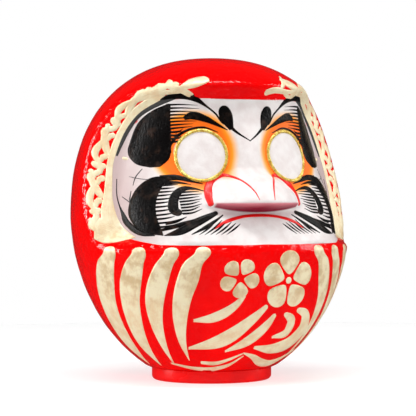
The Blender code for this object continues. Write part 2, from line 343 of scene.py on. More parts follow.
    def face_lead(self, points: np.ndarray) -> np.ndarray:
        """How far the face lies outside the hood, in millimetres: positive where it is white.

        The white is brushed a little way up the hood's sides, where the gold border covers its edge.

        Args:
            points: Places, one in each row.

        Returns:
            The lead.
        """
        x, y, z = points.T
        side = np.abs(x)
        spill = smoothstep(*self.spill_sides, side) * smoothstep(*self.spill_levels, z)
        corner = smoothstep(*self.corner_sides, side) * smoothstep(*self.corner_levels, z)
        share = np.maximum(spill, self.corner_share * corner) * smoothstep(*self.spill_end, z)
        return self.hood(x, y, z) - self.face(x, y, z) + self.white_spill * share

    def cast(
        self, starts: np.ndarray, directions: np.ndarray, inset: float = 0.0, reach: float = 300.0
    ) -> np.ndarray:
        """Find the skin along rays that start inside the body, by halving the interval.

        Args:
            starts: Places inside the body.
            directions: One unit direction for each of them.
            inset: How far under the skin the looked-for surface lies.
            reach: Length of the rays.

        Returns:
            One place on the surface for each ray.
        """
        low = np.zeros(len(starts))
        high = np.full(len(starts), reach)
        for _ in range(HALVINGS):
            middle = 0.5 * (low + high)
            outside = self.level(starts + directions * middle[:, None]) > -inset
            high = np.where(outside, middle, high)
            low = np.where(outside, low, middle)
        return starts + directions * high[:, None]

    def normals(self, points: np.ndarray, step: float = 0.4) -> np.ndarray:
        """Outward unit normals of the skin near points on it.

        Args:
            points: Places, one in each row.
            step: How far from a point its slopes are read.

        Returns:
            One unit normal for each.
        """
        steps = np.eye(3) * step
        slopes = np.array([self.level(points + ahead) - self.level(points - ahead) for ahead in steps]).T
        return slopes / np.maximum(np.linalg.norm(slopes, axis=1)[:, None], 1e-9)

    def eye_axes(self, side: int) -> np.ndarray:
        """Across, up and outward directions of one eye, as rows.

        Args:
            side: 1 for the doll's left eye, -1 for its right one.

        Returns:
            The three unit directions.
        """
        turn, tilt = self.eye_turn, self.eye_tilt
        flat = math.cos(tilt)
        outward = np.array([side * math.sin(turn) * flat, -math.cos(turn) * flat, math.sin(tilt)])
        across = np.array([math.cos(turn), side * math.sin(turn), 0.0])
        return np.array([across, np.cross(outward, across), outward])

    def eye_centre(self, side: int) -> np.ndarray:
        """Middle of an eye, on the face panel.

        Args:
            side: 1 for the doll's left eye, -1 for its right one.

        Returns:
            The place.
        """
        x, z = self.eye_place
        half_width = ease(self.panel_widths, self.panel_width_levels, z)
        y = -self.plain_depth(z) * math.sqrt(1.0 - (x / half_width) ** 2)
        return np.array([side * x, y, z])


# ---------------------------------------------------------------------------------------------------
# Shader sketching


class Signal:
    """A socket that carries a number, usable in Python expressions."""

    def __init__(self, sketch: "Sketch", socket: bpy.types.NodeSocket) -> None:
        """Keep the node sketch and the socket."""
        self.sketch = sketch
        self.socket = socket

    def maths(self, operation: str, *others: "Signal | float") -> "Signal":
        """Add one Math node that starts with this value."""
        node = self.sketch.node("ShaderNodeMath", {"operation": operation}, [self, *others])
        return Signal(self.sketch, node.outputs[0])

    def __add__(self, other: "Signal | float") -> "Signal":
        """Sum of two values."""
        return self.maths("ADD", other)

    __radd__ = __add__

    def __mul__(self, other: "Signal | float") -> "Signal":
        """Product of two values."""
        return self.maths("MULTIPLY", other)

    __rmul__ = __mul__

    def __sub__(self, other: "Signal | float") -> "Signal":
        """Difference of two values."""
        return self.maths("SUBTRACT", other)

    def __rsub__(self, other: float) -> "Signal":
        """A number less this value."""
        return (self * -1.0) + other

    def __truediv__(self, other: "Signal | float") -> "Signal":
        """Quotient of two values."""
        return self.maths("DIVIDE", other)

    def __pow__(self, other: float) -> "Signal":
        """Power of this value."""
        return self.maths("POWER", other)

    def __abs__(self) -> "Signal":
        """Size of this value."""
        return self.maths("ABSOLUTE")

    def rise(self, low: float, high: float) -> "Signal":
        """Step smoothly from 0 at low to 1 at high.

        Args:
            low: Value at which the step starts.
            high: Value at which it ends.

        Returns:
            The stepped value.
        """
        settings = {"interpolation_type": "SMOOTHSTEP"}
        node = self.sketch.node("ShaderNodeMapRange", settings, [self, low, high, 0.0, 1.0])
        return Signal(self.sketch, node.outputs[0])

    def fall(self, low: float, high: float) -> "Signal":
        """Step smoothly from 1 at low to 0 at high."""
        return 1.0 - self.rise(low, high)


Colour = tuple[float, float, float]
Source = Signal | float | Colour | bpy.types.NodeSocket


class Sketch:
    """Node tree of one material, with its Principled shader at hand."""

    def __init__(self, name: str) -> None:
        """Start a material of that name.

        Args:
            name: The material's name.
        """
        self.material = bpy.data.materials.new(name)
        self.material.use_nodes = True
        self.tree = self.material.node_tree
        self.shader = self.tree.nodes["Principled BSDF"]

    def node(self, kind: str, settings: dict, sockets: "Sequence[Source] | dict") -> bpy.types.Node:
        """Add a node.

        Args:
            kind: Blender's name of the node's type.
            settings: Properties that are set first.
            sockets: Values or links of its inputs, in order or by name or number.

        Returns:
            The new node.
        """
        made = self.tree.nodes.new(kind)
        for key, value in settings.items():
            setattr(made, key, value)
        pairs = sockets.items() if isinstance(sockets, dict) else enumerate(sockets)
        for key, value in pairs:
            self.feed(made.inputs[key], value)
        return made

    def feed(self, socket: bpy.types.NodeSocket, value: Source) -> None:
        """Set a socket to a constant, or link it.

        Args:
            socket: Input of a node.
            value: Number, colour or link.
        """
        if isinstance(value, (Signal, bpy.types.NodeSocket)):
            self.tree.links.new(getattr(value, "socket", value), socket)
        elif isinstance(value, tuple) and socket.type == "RGBA":
            socket.default_value = (*value, 1.0)
        else:
            socket.default_value = value

    def place(self) -> tuple[bpy.types.NodeSocket, Signal, Signal, Signal]:
        """Object coordinates, whole and as x, y and z in millimetres.

        Returns:
            The vector and its three components.
        """
        whole = self.node("ShaderNodeTexCoord", {}, []).outputs["Object"]
        parts = self.node("ShaderNodeSeparateXYZ", {}, [whole]).outputs
        x, y, z = (Signal(self, part) * (1.0 / MM) for part in parts)
        return whole, x, y, z

    def attribute(self, name: str) -> tuple[Signal, Signal, Signal]:
        """Three components of a vector attribute of the mesh.

        Args:
            name: The attribute's name.

        Returns:
            The components.
        """
        vector = self.node("ShaderNodeAttribute", {"attribute_name": name}, []).outputs["Vector"]
        parts = self.node("ShaderNodeSeparateXYZ", {}, [vector]).outputs
        return tuple(Signal(self, part) for part in parts)

    def stretched(self, x: Source, y: Source, z: Source) -> bpy.types.NodeSocket:
        """Join three values into a vector."""
        return self.node("ShaderNodeCombineXYZ", {}, [x, y, z]).outputs[0]

    def noise(
        self, vector: bpy.types.NodeSocket, scale: float, detail: float = 2.0, rough: float = 0.5
    ) -> Signal:
        """Soft noise from about 0.2 to 0.8."""
        sockets = {"Vector": vector, "Scale": scale, "Detail": detail, "Roughness": rough}
        return Signal(self, self.node("ShaderNodeTexNoise", {}, sockets).outputs[0])

    def mix(self, share: Source, first: Source, second: Source) -> bpy.types.NodeSocket:
        """Blend two colours."""
        sockets = {0: share, 6: first, 7: second}
        return self.node("ShaderNodeMix", {"data_type": "RGBA"}, sockets).outputs[2]

    def bump(self, height: Signal, distance: float, strength: float = 1.0) -> None:
        """Rough up the shader's normal.

        Args:
            height: Height from 0 to 1.
            distance: What a height of 1 measures, in millimetres.
            strength: Share of the effect.
        """
        sockets = {"Strength": strength, "Distance": distance * MM, "Height": height}
        node = self.node("ShaderNodeBump", {}, sockets)
        self.tree.links.new(node.outputs[0], self.shader.inputs["Normal"])

    def finish(self, **values: Source) -> bpy.types.Material:
        """Set the shader's sockets, named with underscores, and give the material.

        Args:
            values: Number, colour or link of each socket.

        Returns:
            The material.
        """
        for name, value in values.items():
            self.feed(self.shader.inputs[name.replace("_", " ")], value)
        return self.material


# ---------------------------------------------------------------------------------------------------
# Finishes


@dataclass(frozen=True)
class LacqueredSkin:
    """Vermilion lacquer on the hood and chalk white, airbrushed, on the face, with painted shade towards
    the face's sides.
    """

    red: Colour = (0.90, 0.0, 0.0)
    deep_red: Colour = (0.76, 0.0, 0.001)
    white: Colour = (0.72, 0.655, 0.64)
    warm_white: Colour = (0.80, 0.76, 0.745)
    # painted shade: darker, pinkish white towards the sides of the face
    shaded_cheek: Colour = (0.52, 0.39, 0.38)
    orange: Colour = (0.98, 0.16, 0.0)
    yellow: Colour = (0.98, 0.42, 0.01)
    crimson: Colour = (0.26, 0.0, 0.025)
    lip_pink: Colour = (0.76, 0.24, 0.28)
    airbrush_centre: Pair = (47.5, 211.0)
    airbrush_reach: Pair = (36.5, 38.0)
    airbrush_edge: Pair = (0.86, 1.06)
    glow_edge: Pair = (0.74, 1.0)
    lobe_centre: Pair = (27.0, 164.0)
    lobe_reach: Pair = (20.0, 25.0)
    lobe_edge: Pair = (0.82, 1.08)
    # sides of the face over which the painted shade comes in
    shaded_cheek_sides: Pair = (74.0, 108.0)
    mouth_low: float = 156.5
    mouth_curve: float = 5.0
    mouth_front: Pair = (-70.0, -60.0)

    def oval(self, side: Signal, z: Signal, centre: Pair, reach: Pair) -> Signal:
        """Distance from a centre on each side, with 1 at the oval's reach."""
        across, up = (side - centre[0]) / reach[0], (z - centre[1]) / reach[1]
        return (across * across + up * up) ** 0.5

    def material(self, form: DollForm) -> bpy.types.Material:
        """Build the node tree.

        Args:
            form: The doll's form, for the places of the eyes and the mouth.

        Returns:
            The material.
        """
        sketch = Sketch("lacquered_skin")
        whole, x, y, z = sketch.place()
        side = abs(x)
        lead = sketch.attribute("face_lead")[0]
        face = lead.rise(-0.2, 0.3)

        broad = sketch.noise(whole, 22.0, 3.0)
        peel = sketch.noise(whole, 190.0, 2.0)
        speckle = sketch.noise(whole, 700.0, 2.0)
        red = sketch.mix(broad.rise(0.35, 0.75), self.red, self.deep_red)

        white = sketch.mix(sketch.noise(whole, 95.0, 4.0).rise(0.3, 0.7), self.white, self.warm_white)
        spread = self.oval(side, z, self.airbrush_centre, self.airbrush_reach) + (broad - 0.5) * 0.12
        lobe = self.oval(side, z, self.lobe_centre, self.lobe_reach)
        from_eye = self.oval(side, z, form.eye_place, (1.0, 1.0))
        cloud = spread.fall(*self.airbrush_edge) * lobe.rise(*self.lobe_edge)
        cloud = cloud * from_eye.rise(form.eye_radius - 0.3, form.eye_radius + 0.9)
        glow = sketch.mix(spread.rise(*self.glow_edge), self.orange, self.yellow)
        # painted shade: the white darkens to pinkish grey towards the sides of the face
        white = sketch.mix(side.rise(*self.shaded_cheek_sides), white, self.shaded_cheek)
        chalk = sketch.mix(cloud, white, glow)

        outwards = side / form.mouth_half_width
        low = self.mouth_low + outwards * outwards * self.mouth_curve
        depth = (z - low) / (form.muzzle_edge - self.mouth_low)
        lens = (1.0 - outwards).rise(0.0, 0.06) * (z - low).rise(-0.8, 0.8)
        lens = lens * z.fall(form.muzzle_edge - 2.2, form.muzzle_edge - 0.6) * y.fall(*self.mouth_front)
        lips = sketch.mix((depth + outwards * 0.45).rise(0.35, 1.1), self.crimson, self.lip_pink)
        chalk = sketch.mix(lens, chalk, lips)

        height = peel * (1.0 - face * 0.75) + speckle * 0.06 + broad * 0.5
        sketch.bump(height, 1.1)
        gloss = peel * 0.10 + 0.08
        matt = speckle * 0.14 + 0.42
        return sketch.finish(
            Base_Color=sketch.mix(face, red, chalk),
            Roughness=gloss + (matt - gloss) * face,
            Specular_IOR_Level=0.4,
        )


@dataclass(frozen=True)
class BaseLacquer:
    """Red lacquer over the turned wood of the base ring."""

    red: Colour = (0.96, 0.0, 0.0)
    deep_red: Colour = (0.80, 0.0, 0.001)

    def material(self) -> bpy.types.Material:
        """Build the node tree: brushed rings and a few drips.

        Returns:
            The material.
        """
        sketch = Sketch("base_lacquer")
        whole, x, y, z = sketch.place()
        rings = sketch.noise(sketch.stretched(x * 0.004, y * 0.004, z * 0.9), 1.6, 3.0)
        cloud = sketch.noise(whole, 60.0, 3.0)
        sketch.bump(rings * 0.6 + cloud * 0.4, 0.25)
        return sketch.finish(
            Base_Color=sketch.mix(cloud.rise(0.3, 0.8), self.red, self.deep_red),
            Roughness=cloud * 0.2 + 0.2,
            Specular_IOR_Level=0.35,
        )


@dataclass(frozen=True)
class BrushedInk:
    """Glossy black ink that dries brown at its edges and grey where the brush ran out of ink, with a
    painted grey sheen on the wing stroke.
    """

    black: Colour = (0.003, 0.0024, 0.0024)
    brown: Colour = (0.030, 0.016, 0.011)
    # grey of the brush streaks and of the painted sheen
    grey: Colour = (0.055, 0.055, 0.053)

    def material(self) -> bpy.types.Material:
        """Build the node tree, streaked along each stroke.

        Returns:
            The material.
        """
        sketch = Sketch("brushed_ink")
        whole = sketch.place()[0]
        across, along, tone = sketch.attribute("brush")
        hairs = sketch.noise(sketch.stretched(across * 1.3, along * 0.07, tone * 9.0), 1.0, 3.0)
        pits = sketch.noise(whole, 420.0, 2.5, 0.6)
        pools = sketch.noise(whole, 120.0, 2.0)
        # grey streaks where the brush ran out of ink; a high tone, as on the wing stroke, turns a stroke
        # grey nearly all over, a painted sheen of reflected light
        dry_and_sheen = (hairs + (tone - 0.5)).rise(0.45, 0.95)
        wet = sketch.mix(pools.rise(0.5, 0.75), self.black, self.brown)
        sketch.bump(pits + hairs * 0.5, 0.5)
        return sketch.finish(
            Base_Color=sketch.mix(dry_and_sheen, wet, self.grey),
            Roughness=dry_and_sheen * 0.25 + pits * 0.2 + 0.2,
            Specular_IOR_Level=0.15,
        )


@dataclass(frozen=True)
class GoldPaint:
    """Champagne gold bronze paint, thick, with brush ridges, rosy thin places and a painted dark
    reflection across the upper belly.
    """

    pale: Colour = (1.0, 0.88, 0.60)
    rosy: Colour = (0.93, 0.70, 0.42)
    glaze: Colour = (1.0, 0.95, 0.76)
    # brownish gold of the painted dark reflection
    shade: Colour = (0.60, 0.42, 0.20)

    def material(self) -> bpy.types.Material:
        """Build the node tree, streaked along each stroke.

        Returns:
            The material.
        """
        sketch = Sketch("gold_paint")
        whole, _, _, z = sketch.place()
        across, along, tone = sketch.attribute("brush")
        hairs = sketch.noise(sketch.stretched(across * 0.9, along * 0.06, tone * 9.0), 1.0, 3.0)
        clouds = sketch.noise(whole, 75.0, 4.0, 0.6)
        flakes = sketch.noise(whole, 380.0, 2.0)
        worn = (clouds * 0.75 + hairs * 0.25).rise(0.42, 0.64)
        base = sketch.mix(worn, self.pale, self.rosy)
        base = sketch.mix(flakes.rise(0.55, 0.8) * 0.4, base, self.glaze)
        # painted dark reflection: brown patches, mostly in a band about 60 to 150 mm up, where the gold
        # would mirror the darker studio
        painted_reflection = (z + clouds * 60.0 - 30.0).rise(74.0, 106.0) * z.fall(126.0, 150.0)
        painted_reflection = (painted_reflection * 0.85 + 0.1) * clouds.rise(0.38, 0.62)
        base = sketch.mix(painted_reflection * 0.6, base, self.shade)
        sketch.bump(hairs * 0.5 + flakes * 0.35 + clouds * 0.5, 0.5)
        return sketch.finish(
            Base_Color=base,
            Metallic=0.25,
            Roughness=clouds * 0.25 + flakes * 0.1 + 0.25,
        )


@dataclass(frozen=True)
class GoldBead:
    """Yellower gold paste of the beaded rims round the eyes."""

    light: Colour = (1.0, 0.84, 0.22)
    dark: Colour = (0.74, 0.42, 0.05)

    def material(self) -> bpy.types.Material:
        """Build the node tree: bright paste with dark pits.

        Returns:
            The material.
        """
        sketch = Sketch("gold_bead")
        whole = sketch.place()[0]
        lumps = sketch.noise(whole, 260.0, 3.0, 0.6)
        pits = sketch.noise(whole, 620.0, 2.0)
        sketch.bump(lumps + pits * 0.3, 0.6)
        return sketch.finish(
            Base_Color=sketch.mix(lumps.rise(0.38, 0.66), self.light, self.dark),
            Metallic=0.5,
            Roughness=pits * 0.2 + 0.2,
        )


@dataclass(frozen=True)
class RedLine:
    """Opaque red line paint on the white face."""

    red: Colour = (0.84, 0.0, 0.0)
    thin_red: Colour = (0.70, 0.015, 0.012)

    def material(self) -> bpy.types.Material:
        """Build the node tree, a little streaked.

        Returns:
            The material.
        """
        sketch = Sketch("red_line")
        whole = sketch.place()[0]
        across, along, tone = sketch.attribute("brush")
        hairs = sketch.noise(sketch.stretched(across * 1.2, along * 0.08, tone), 1.0, 3.0)
        grain = sketch.noise(whole, 500.0, 2.0)
        sketch.bump(hairs * 0.5 + grain * 0.5, 0.2)
        return sketch.finish(
            Base_Color=sketch.mix(hairs.rise(0.4, 0.7), self.red, self.thin_red),
            Roughness=grain * 0.2 + 0.25,
        )


@dataclass(frozen=True)
class DryStock:
    """Unpainted material of the hidden pieces: pasted paper or dried clay."""

    name: str
    light: Colour
    dark: Colour
    grain: float

    def material(self) -> bpy.types.Material:
        """Build the node tree: fibres or grit, quite matt.

        Returns:
            The material.
        """
        sketch = Sketch(self.name)
        whole, x, y, z = sketch.place()
        fibres = sketch.noise(sketch.stretched(x * 0.05, y * 0.4, z * 0.15), self.grain, 5.0, 0.65)
        grit = sketch.noise(whole, 300.0, 4.0)
        sketch.bump(fibres * 0.6 + grit * 0.4, 0.4)
        return sketch.finish(
            Base_Color=sketch.mix((fibres * 0.6 + grit * 0.4).rise(0.3, 0.7), self.light, self.dark),
            Roughness=grit * 0.2 + 0.75,
        )


# ---------------------------------------------------------------------------------------------------
# Meshes


def places_of(verts: Iterable[bmesh.types.BMVert]) -> np.ndarray:
    """Places of vertices, one in each row."""
    return np.array([vert.co for vert in verts])


def move(verts: Iterable[bmesh.types.BMVert], places: np.ndarray) -> None:
    """Put vertices in new places."""
    for vert, place in zip(verts, places):
        vert.co = Vector(place)


def turn_on_axis(bm: bmesh.types.BMesh, steps: int) -> None:
    """Spin all of a mesh's vertices and edges once round the z axis.

    Args:
        bm: Mesh that holds nothing but an outline.
        steps: How many sections the turn has.
    """
    outline = list(bm.verts) + list(bm.edges)
    axis = {"cent": (0.0, 0.0, 0.0), "axis": (0.0, 0.0, 1.0)}
    bmesh.ops.spin(bm, geom=outline, angle=FULL_TURN, steps=steps, use_merge=True, **axis)


def new_piece(name: str, bm: bmesh.types.BMesh, material: bpy.types.Material) -> bpy.types.Object:
    """Turn a bmesh in millimetres into a smooth shaded piece in metres.

    Args:
        name: The piece's name.
        bm: Its mesh, which is freed.
        material: Its finish.

    Returns:
        The new object, at the origin.
    """
    bmesh.ops.transform(bm, matrix=Matrix.Scale(MM, 4), verts=bm.verts)
    mesh = bpy.data.meshes.new(name)
    bm.to_mesh(mesh)
    bm.free()
    mesh.shade_smooth()
    mesh.materials.append(material)
    piece = bpy.data.objects.new(name, mesh)
    bpy.context.scene.collection.objects.link(piece)
    return piece


def mount(piece: bpy.types.Object, replaced: Sequence[str] = ()) -> None:
    """Tie a piece to the doll's one body.

    Args:
        piece: The new piece.
        replaced: CAD nodes that it stands for.
    """
    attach(piece, "root")
    if replaced:
        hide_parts(*replaced)
    log.info("%-22s %7d faces", piece.name, len(piece.data.polygons))


@dataclass(frozen=True)
class PaperBody:
    """The hollow body: painted skin outside, bare wall inside, a round opening in its floor."""

    form: DollForm
    meridians: int = 336
    parallels: int = 200
    inner_meridians: int = 84
    inner_parallels: int = 50
    front_bias: float = 0.45
    middle_bias: float = 0.4
    opening_radius: float = 42.0
    floor_rays: Pair = (-0.95, -0.5)
    lead_limit: float = 20.0

    def ball(self, bm: bmesh.types.BMesh, meridians: int, parallels: int) -> list:
        """Add a unit ball whose vertices crowd towards the face.

        Args:
            bm: Mesh that it is added to.
            meridians: How many meridians it has.
            parallels: How many parallels it has.

        Returns:
            Its vertices.
        """
        made = bmesh.ops.create_uvsphere(bm, u_segments=meridians, v_segments=parallels, radius=1.0)
        for vert in made["verts"]:
            turn = math.atan2(vert.co.x, -vert.co.y)
            rise = math.asin(max(-1.0, min(1.0, vert.co.z)))
            turn -= self.front_bias * math.sin(turn)
            rise -= 0.5 * self.middle_bias * math.sin(2.0 * rise)
            flat = math.cos(rise)
            vert.co = Vector((flat * math.sin(turn), -flat * math.cos(turn), math.sin(rise)))
        return made["verts"]

    def press(self, verts: Sequence[bmesh.types.BMVert], inset: float) -> None:
        """Push a ball's vertices out to the body's surface.

        Args:
            verts: Vertices of a unit ball.
            inset: How far under the skin they end.
        """
        rays = places_of(verts)
        starts = np.tile(np.array(self.form.heart), (len(rays), 1))
        starts[:, 1] *= smoothstep(*self.floor_rays, rays[:, 2])
        move(verts, self.form.cast(starts, rays, inset))

    def open_floor(self, bm: bmesh.types.BMesh, verts: Sequence[bmesh.types.BMVert]) -> list:
        """Take away the middle of the floor and draw its edge to a true circle.

        Args:
            bm: Mesh of the body.
            verts: Vertices of one of its two surfaces.

        Returns:
            The edges round the opening.
        """
        lowest = min(vert.co.z for vert in verts)
        middle = [
            vert
            for vert in verts
            if vert.co.z < lowest + 0.05 and math.hypot(*vert.co.xy) < self.opening_radius
        ]
        rim = {other for vert in middle for edge in vert.link_edges for other in edge.verts}
        rim -= set(middle)
        bmesh.ops.delete(bm, geom=middle, context="VERTS")
        for vert in rim:
            vert.co.xy = vert.co.xy.normalized() * self.opening_radius
        return [edge for edge in bm.edges if edge.is_boundary and set(edge.verts) <= rim]

    def build(self) -> None:
        """Make the body and dress it."""
        bm = bmesh.new()
        outer = self.ball(bm, self.meridians, self.parallels)
        self.press(outer, 0.0)
        rim = self.open_floor(bm, outer)
        inner = self.ball(bm, self.inner_meridians, self.inner_parallels)
        self.press(inner, self.form.wall)
        rim += self.open_floor(bm, inner)
        bmesh.ops.bridge_loops(bm, edges=rim)
        bmesh.ops.recalc_face_normals(bm, faces=bm.faces)
        lead = bm.verts.layers.float_vector.new("face_lead")
        leads = self.form.face_lead(places_of(bm.verts))
        for vert, value in zip(bm.verts, np.clip(leads, -self.lead_limit, self.lead_limit)):
            vert[lead] = Vector((value, 0.0, 0.0))
        piece = new_piece("painted_body", bm, LacqueredSkin().material(self.form))
        mount(piece, ["front_shell", "back_shell"])


@dataclass(frozen=True)
class BaseRing:
    """Turned wooden ring under the body."""

    radius: float = 56.0
    height: float = 12.0
    edge_radius: float = 4.0
    bore_radius: float = 40.0
    recess_radius: float = 47.0
    recess_depth: float = 1.6
    top_rounding: float = 1.0
    steps: int = 144

    def corner(self, centre: Pair, radius: float, start: float, points: int) -> Iterable[Pair]:
        """Quarter of a circle in the outline, from an angle in degrees.

        Args:
            centre: Middle of the circle, as reach from the axis and height.
            radius: Its radius.
            start: Angle at which the quarter starts.
            points: How many steps it takes.

        Returns:
            Its points in order.
        """
        for index in range(points + 1):
            angle = math.radians(start + 90.0 * index / points)
            yield centre[0] + radius * math.cos(angle), centre[1] + radius * math.sin(angle)

    def build(self) -> None:
        """Turn the outline round the axis."""
        foot = (self.radius - self.edge_radius, self.edge_radius)
        top = (self.radius - self.top_rounding, self.height - self.top_rounding)
        outline = [(self.recess_radius, self.recess_depth), (self.recess_radius, 0.0)]
        outline += self.corner(foot, self.edge_radius, -90.0, 10)
        outline += self.corner(top, self.top_rounding, 0.0, 5)
        outline += [(self.bore_radius, self.height), (self.bore_radius, self.recess_depth)]
        bm = bmesh.new()
        verts = [bm.verts.new((radius, 0.0, height)) for radius, height in outline]
        for pair in zip(verts, verts[1:] + verts[:1]):
            bm.edges.new(pair)
        turn_on_axis(bm, self.steps)
        bmesh.ops.recalc_face_normals(bm, faces=bm.faces)
        piece = new_piece("lacquered_base", bm, BaseLacquer().material())
        piece.data.set_sharp_from_angle(angle=math.radians(40.0))
        mount(piece, ["base_ring"])


@dataclass(frozen=True)
class EyeRim:
    """Bead of gold paste round one eye, pressed into a row of small lumps."""

    form: DollForm
    side: int
    height: float = 1.5
    sunk: float = 0.5
    lumps: int = 58
    lump_depth: float = 0.16
    swell: float = 0.07
    steps: int = 348
    section: int = 10

    def build(self) -> None:
        """Spin the bead's section, lump it and lay it on the skin."""
        middle = self.form.eye_radius + 0.5 * self.form.rim_width
        bm = bmesh.new()
        bmesh.ops.create_circle(bm, segments=self.section, radius=1.0)
        turn = Matrix.Rotation(math.radians(90.0), 4, "X")
        bmesh.ops.transform(bm, matrix=Matrix.Translation((middle, 0.0, 0.0)) @ turn, verts=bm.verts)
        turn_on_axis(bm, self.steps)
        x, y, z = places_of(bm.verts).T
        angle = np.arctan2(y, x)
        lump = 1.0 - self.lump_depth * np.cos(angle * self.lumps / 2.0) ** 8
        lump *= 1.0 + self.swell * np.sin(angle * 7.0) * np.sin(angle * 3.0 + 1.0)
        radius = middle + (np.hypot(x, y) - middle) * 0.5 * self.form.rim_width * lump
        rises = np.where(z > 0.0, z * self.height * lump, z * self.sunk)
        flat = np.column_stack((radius * np.cos(angle), radius * np.sin(angle), 0.0 * angle))
        axes = self.form.eye_axes(self.side)
        starts = self.form.eye_centre(self.side) + flat @ axes - self.form.eye_radius * axes[2]
        outward = np.tile(axes[2], (len(starts), 1))
        places = self.form.cast(starts, outward, reach=2.0 * self.form.eye_radius)
        move(bm.verts, places + outward * rises[:, None])
        bmesh.ops.recalc_face_normals(bm, faces=bm.faces)
        name = "left" if self.side > 0 else "right"
        piece = new_piece(f"beaded_rim_{name}", bm, GoldBead().material())
        mount(piece, [f"eye_rim_{name}"])


# ---------------------------------------------------------------------------------------------------
# Brushwork


class Canvas(Enum):
    """How flat coordinates are laid on the doll."""

    FRONT = "x and z, seen from the front"
    ROUND = "degrees round the axis and z"


class Tip(Enum):
    """Shape of a stroke's end."""

    POINTED = "pointed"
    ROUND = "round"


BOTH_ROUND = (Tip.ROUND, Tip.ROUND)
DRAWN_OUT = (Tip.ROUND, Tip.POINTED)
LIFTED_IN = (Tip.POINTED, Tip.ROUND)
THINNEST = 0.12
NUDGE = 0.004  # share of a stroke over which its direction is read
GIRTH = 110.0  # radius at which a degree round the axis is counted in millimetres


@dataclass(frozen=True)
class Stroke:
    """One pull of the brush along a smooth path."""

    path: Sequence[Pair]
    widths: Sequence[float]
    tips: tuple[Tip, Tip] = (Tip.POINTED, Tip.POINTED)
    tone: float = 0.0

    def span(self) -> Pair:
        """Length and greatest width, in millimetres."""
        steps = np.diff(np.array(self.path), axis=0)
        return float(np.linalg.norm(steps, axis=1).sum()), max(self.widths)

    def flat(self, across: np.ndarray, along: np.ndarray) -> np.ndarray:
        """Flat place of points of the stroke.

        Args:
            across: From -1 on one edge to 1 on the other.
            along: Share of the length, from 0 to 1.

        Returns:
            One flat place for each.
        """
        row = [(*point, width) for point, width in zip(self.path, self.widths)]
        here = spline(row, along)
        ahead, behind = np.minimum(along + NUDGE, 1.0), np.maximum(along - NUDGE, 0.0)
        run = spline(row, ahead)[:, :2] - spline(row, behind)[:, :2]
        run /= np.linalg.norm(run, axis=1)[:, None]
        length = self.span()[0]
        width = np.maximum(here[:, 2], THINNEST)
        for tip, gone in zip(self.tips, (along, 1.0 - along)):
            if tip is Tip.ROUND:
                inside = np.clip(gone * length / (0.5 * width), 0.0, 1.0)
                width = np.maximum(width * np.sqrt(1.0 - (1.0 - inside) ** 2), THINNEST)
        sideways = np.column_stack((-run[:, 1], run[:, 0]))
        return here[:, :2] + sideways * (0.5 * across * width)[:, None]


@dataclass(frozen=True)
class Wash:
    """A filled area between two edges that run the same way."""

    left: Sequence[Pair]
    right: Sequence[Pair]
    tone: float = 0.0

    def span(self) -> Pair:
        """Length and greatest width, in millimetres.

        Returns:
            Both measures.
        """
        shares = np.linspace(0.0, 1.0, 20)
        left, right = spline(self.left, shares), spline(self.right, shares)
        steps = np.diff(0.5 * (left + right), axis=0)
        length = np.linalg.norm(steps, axis=1).sum()
        return float(length), float(np.linalg.norm(left - right, axis=1).max())

    def flat(self, across: np.ndarray, along: np.ndarray) -> np.ndarray:
        """Flat place of points of the wash, as for a stroke."""
        share = (0.5 + 0.5 * across)[:, None]
        return spline(self.left, along) * (1.0 - share) + spline(self.right, along) * share


Mark = Stroke | Wash


def mirrored(marks: Sequence[Mark]) -> list[Mark]:
    """The same marks on the doll's other side.

    Args:
        marks: Strokes and washes.

    Returns:
        Their mirror images, in the same order.
    """
    flipped: list[Mark] = []
    for mark in marks:
        lines = ("path",) if isinstance(mark, Stroke) else ("left", "right")
        turned = {line: [(-x, z) for x, z in getattr(mark, line)] for line in lines}
        flipped.append(replace(mark, **turned))
    return flipped


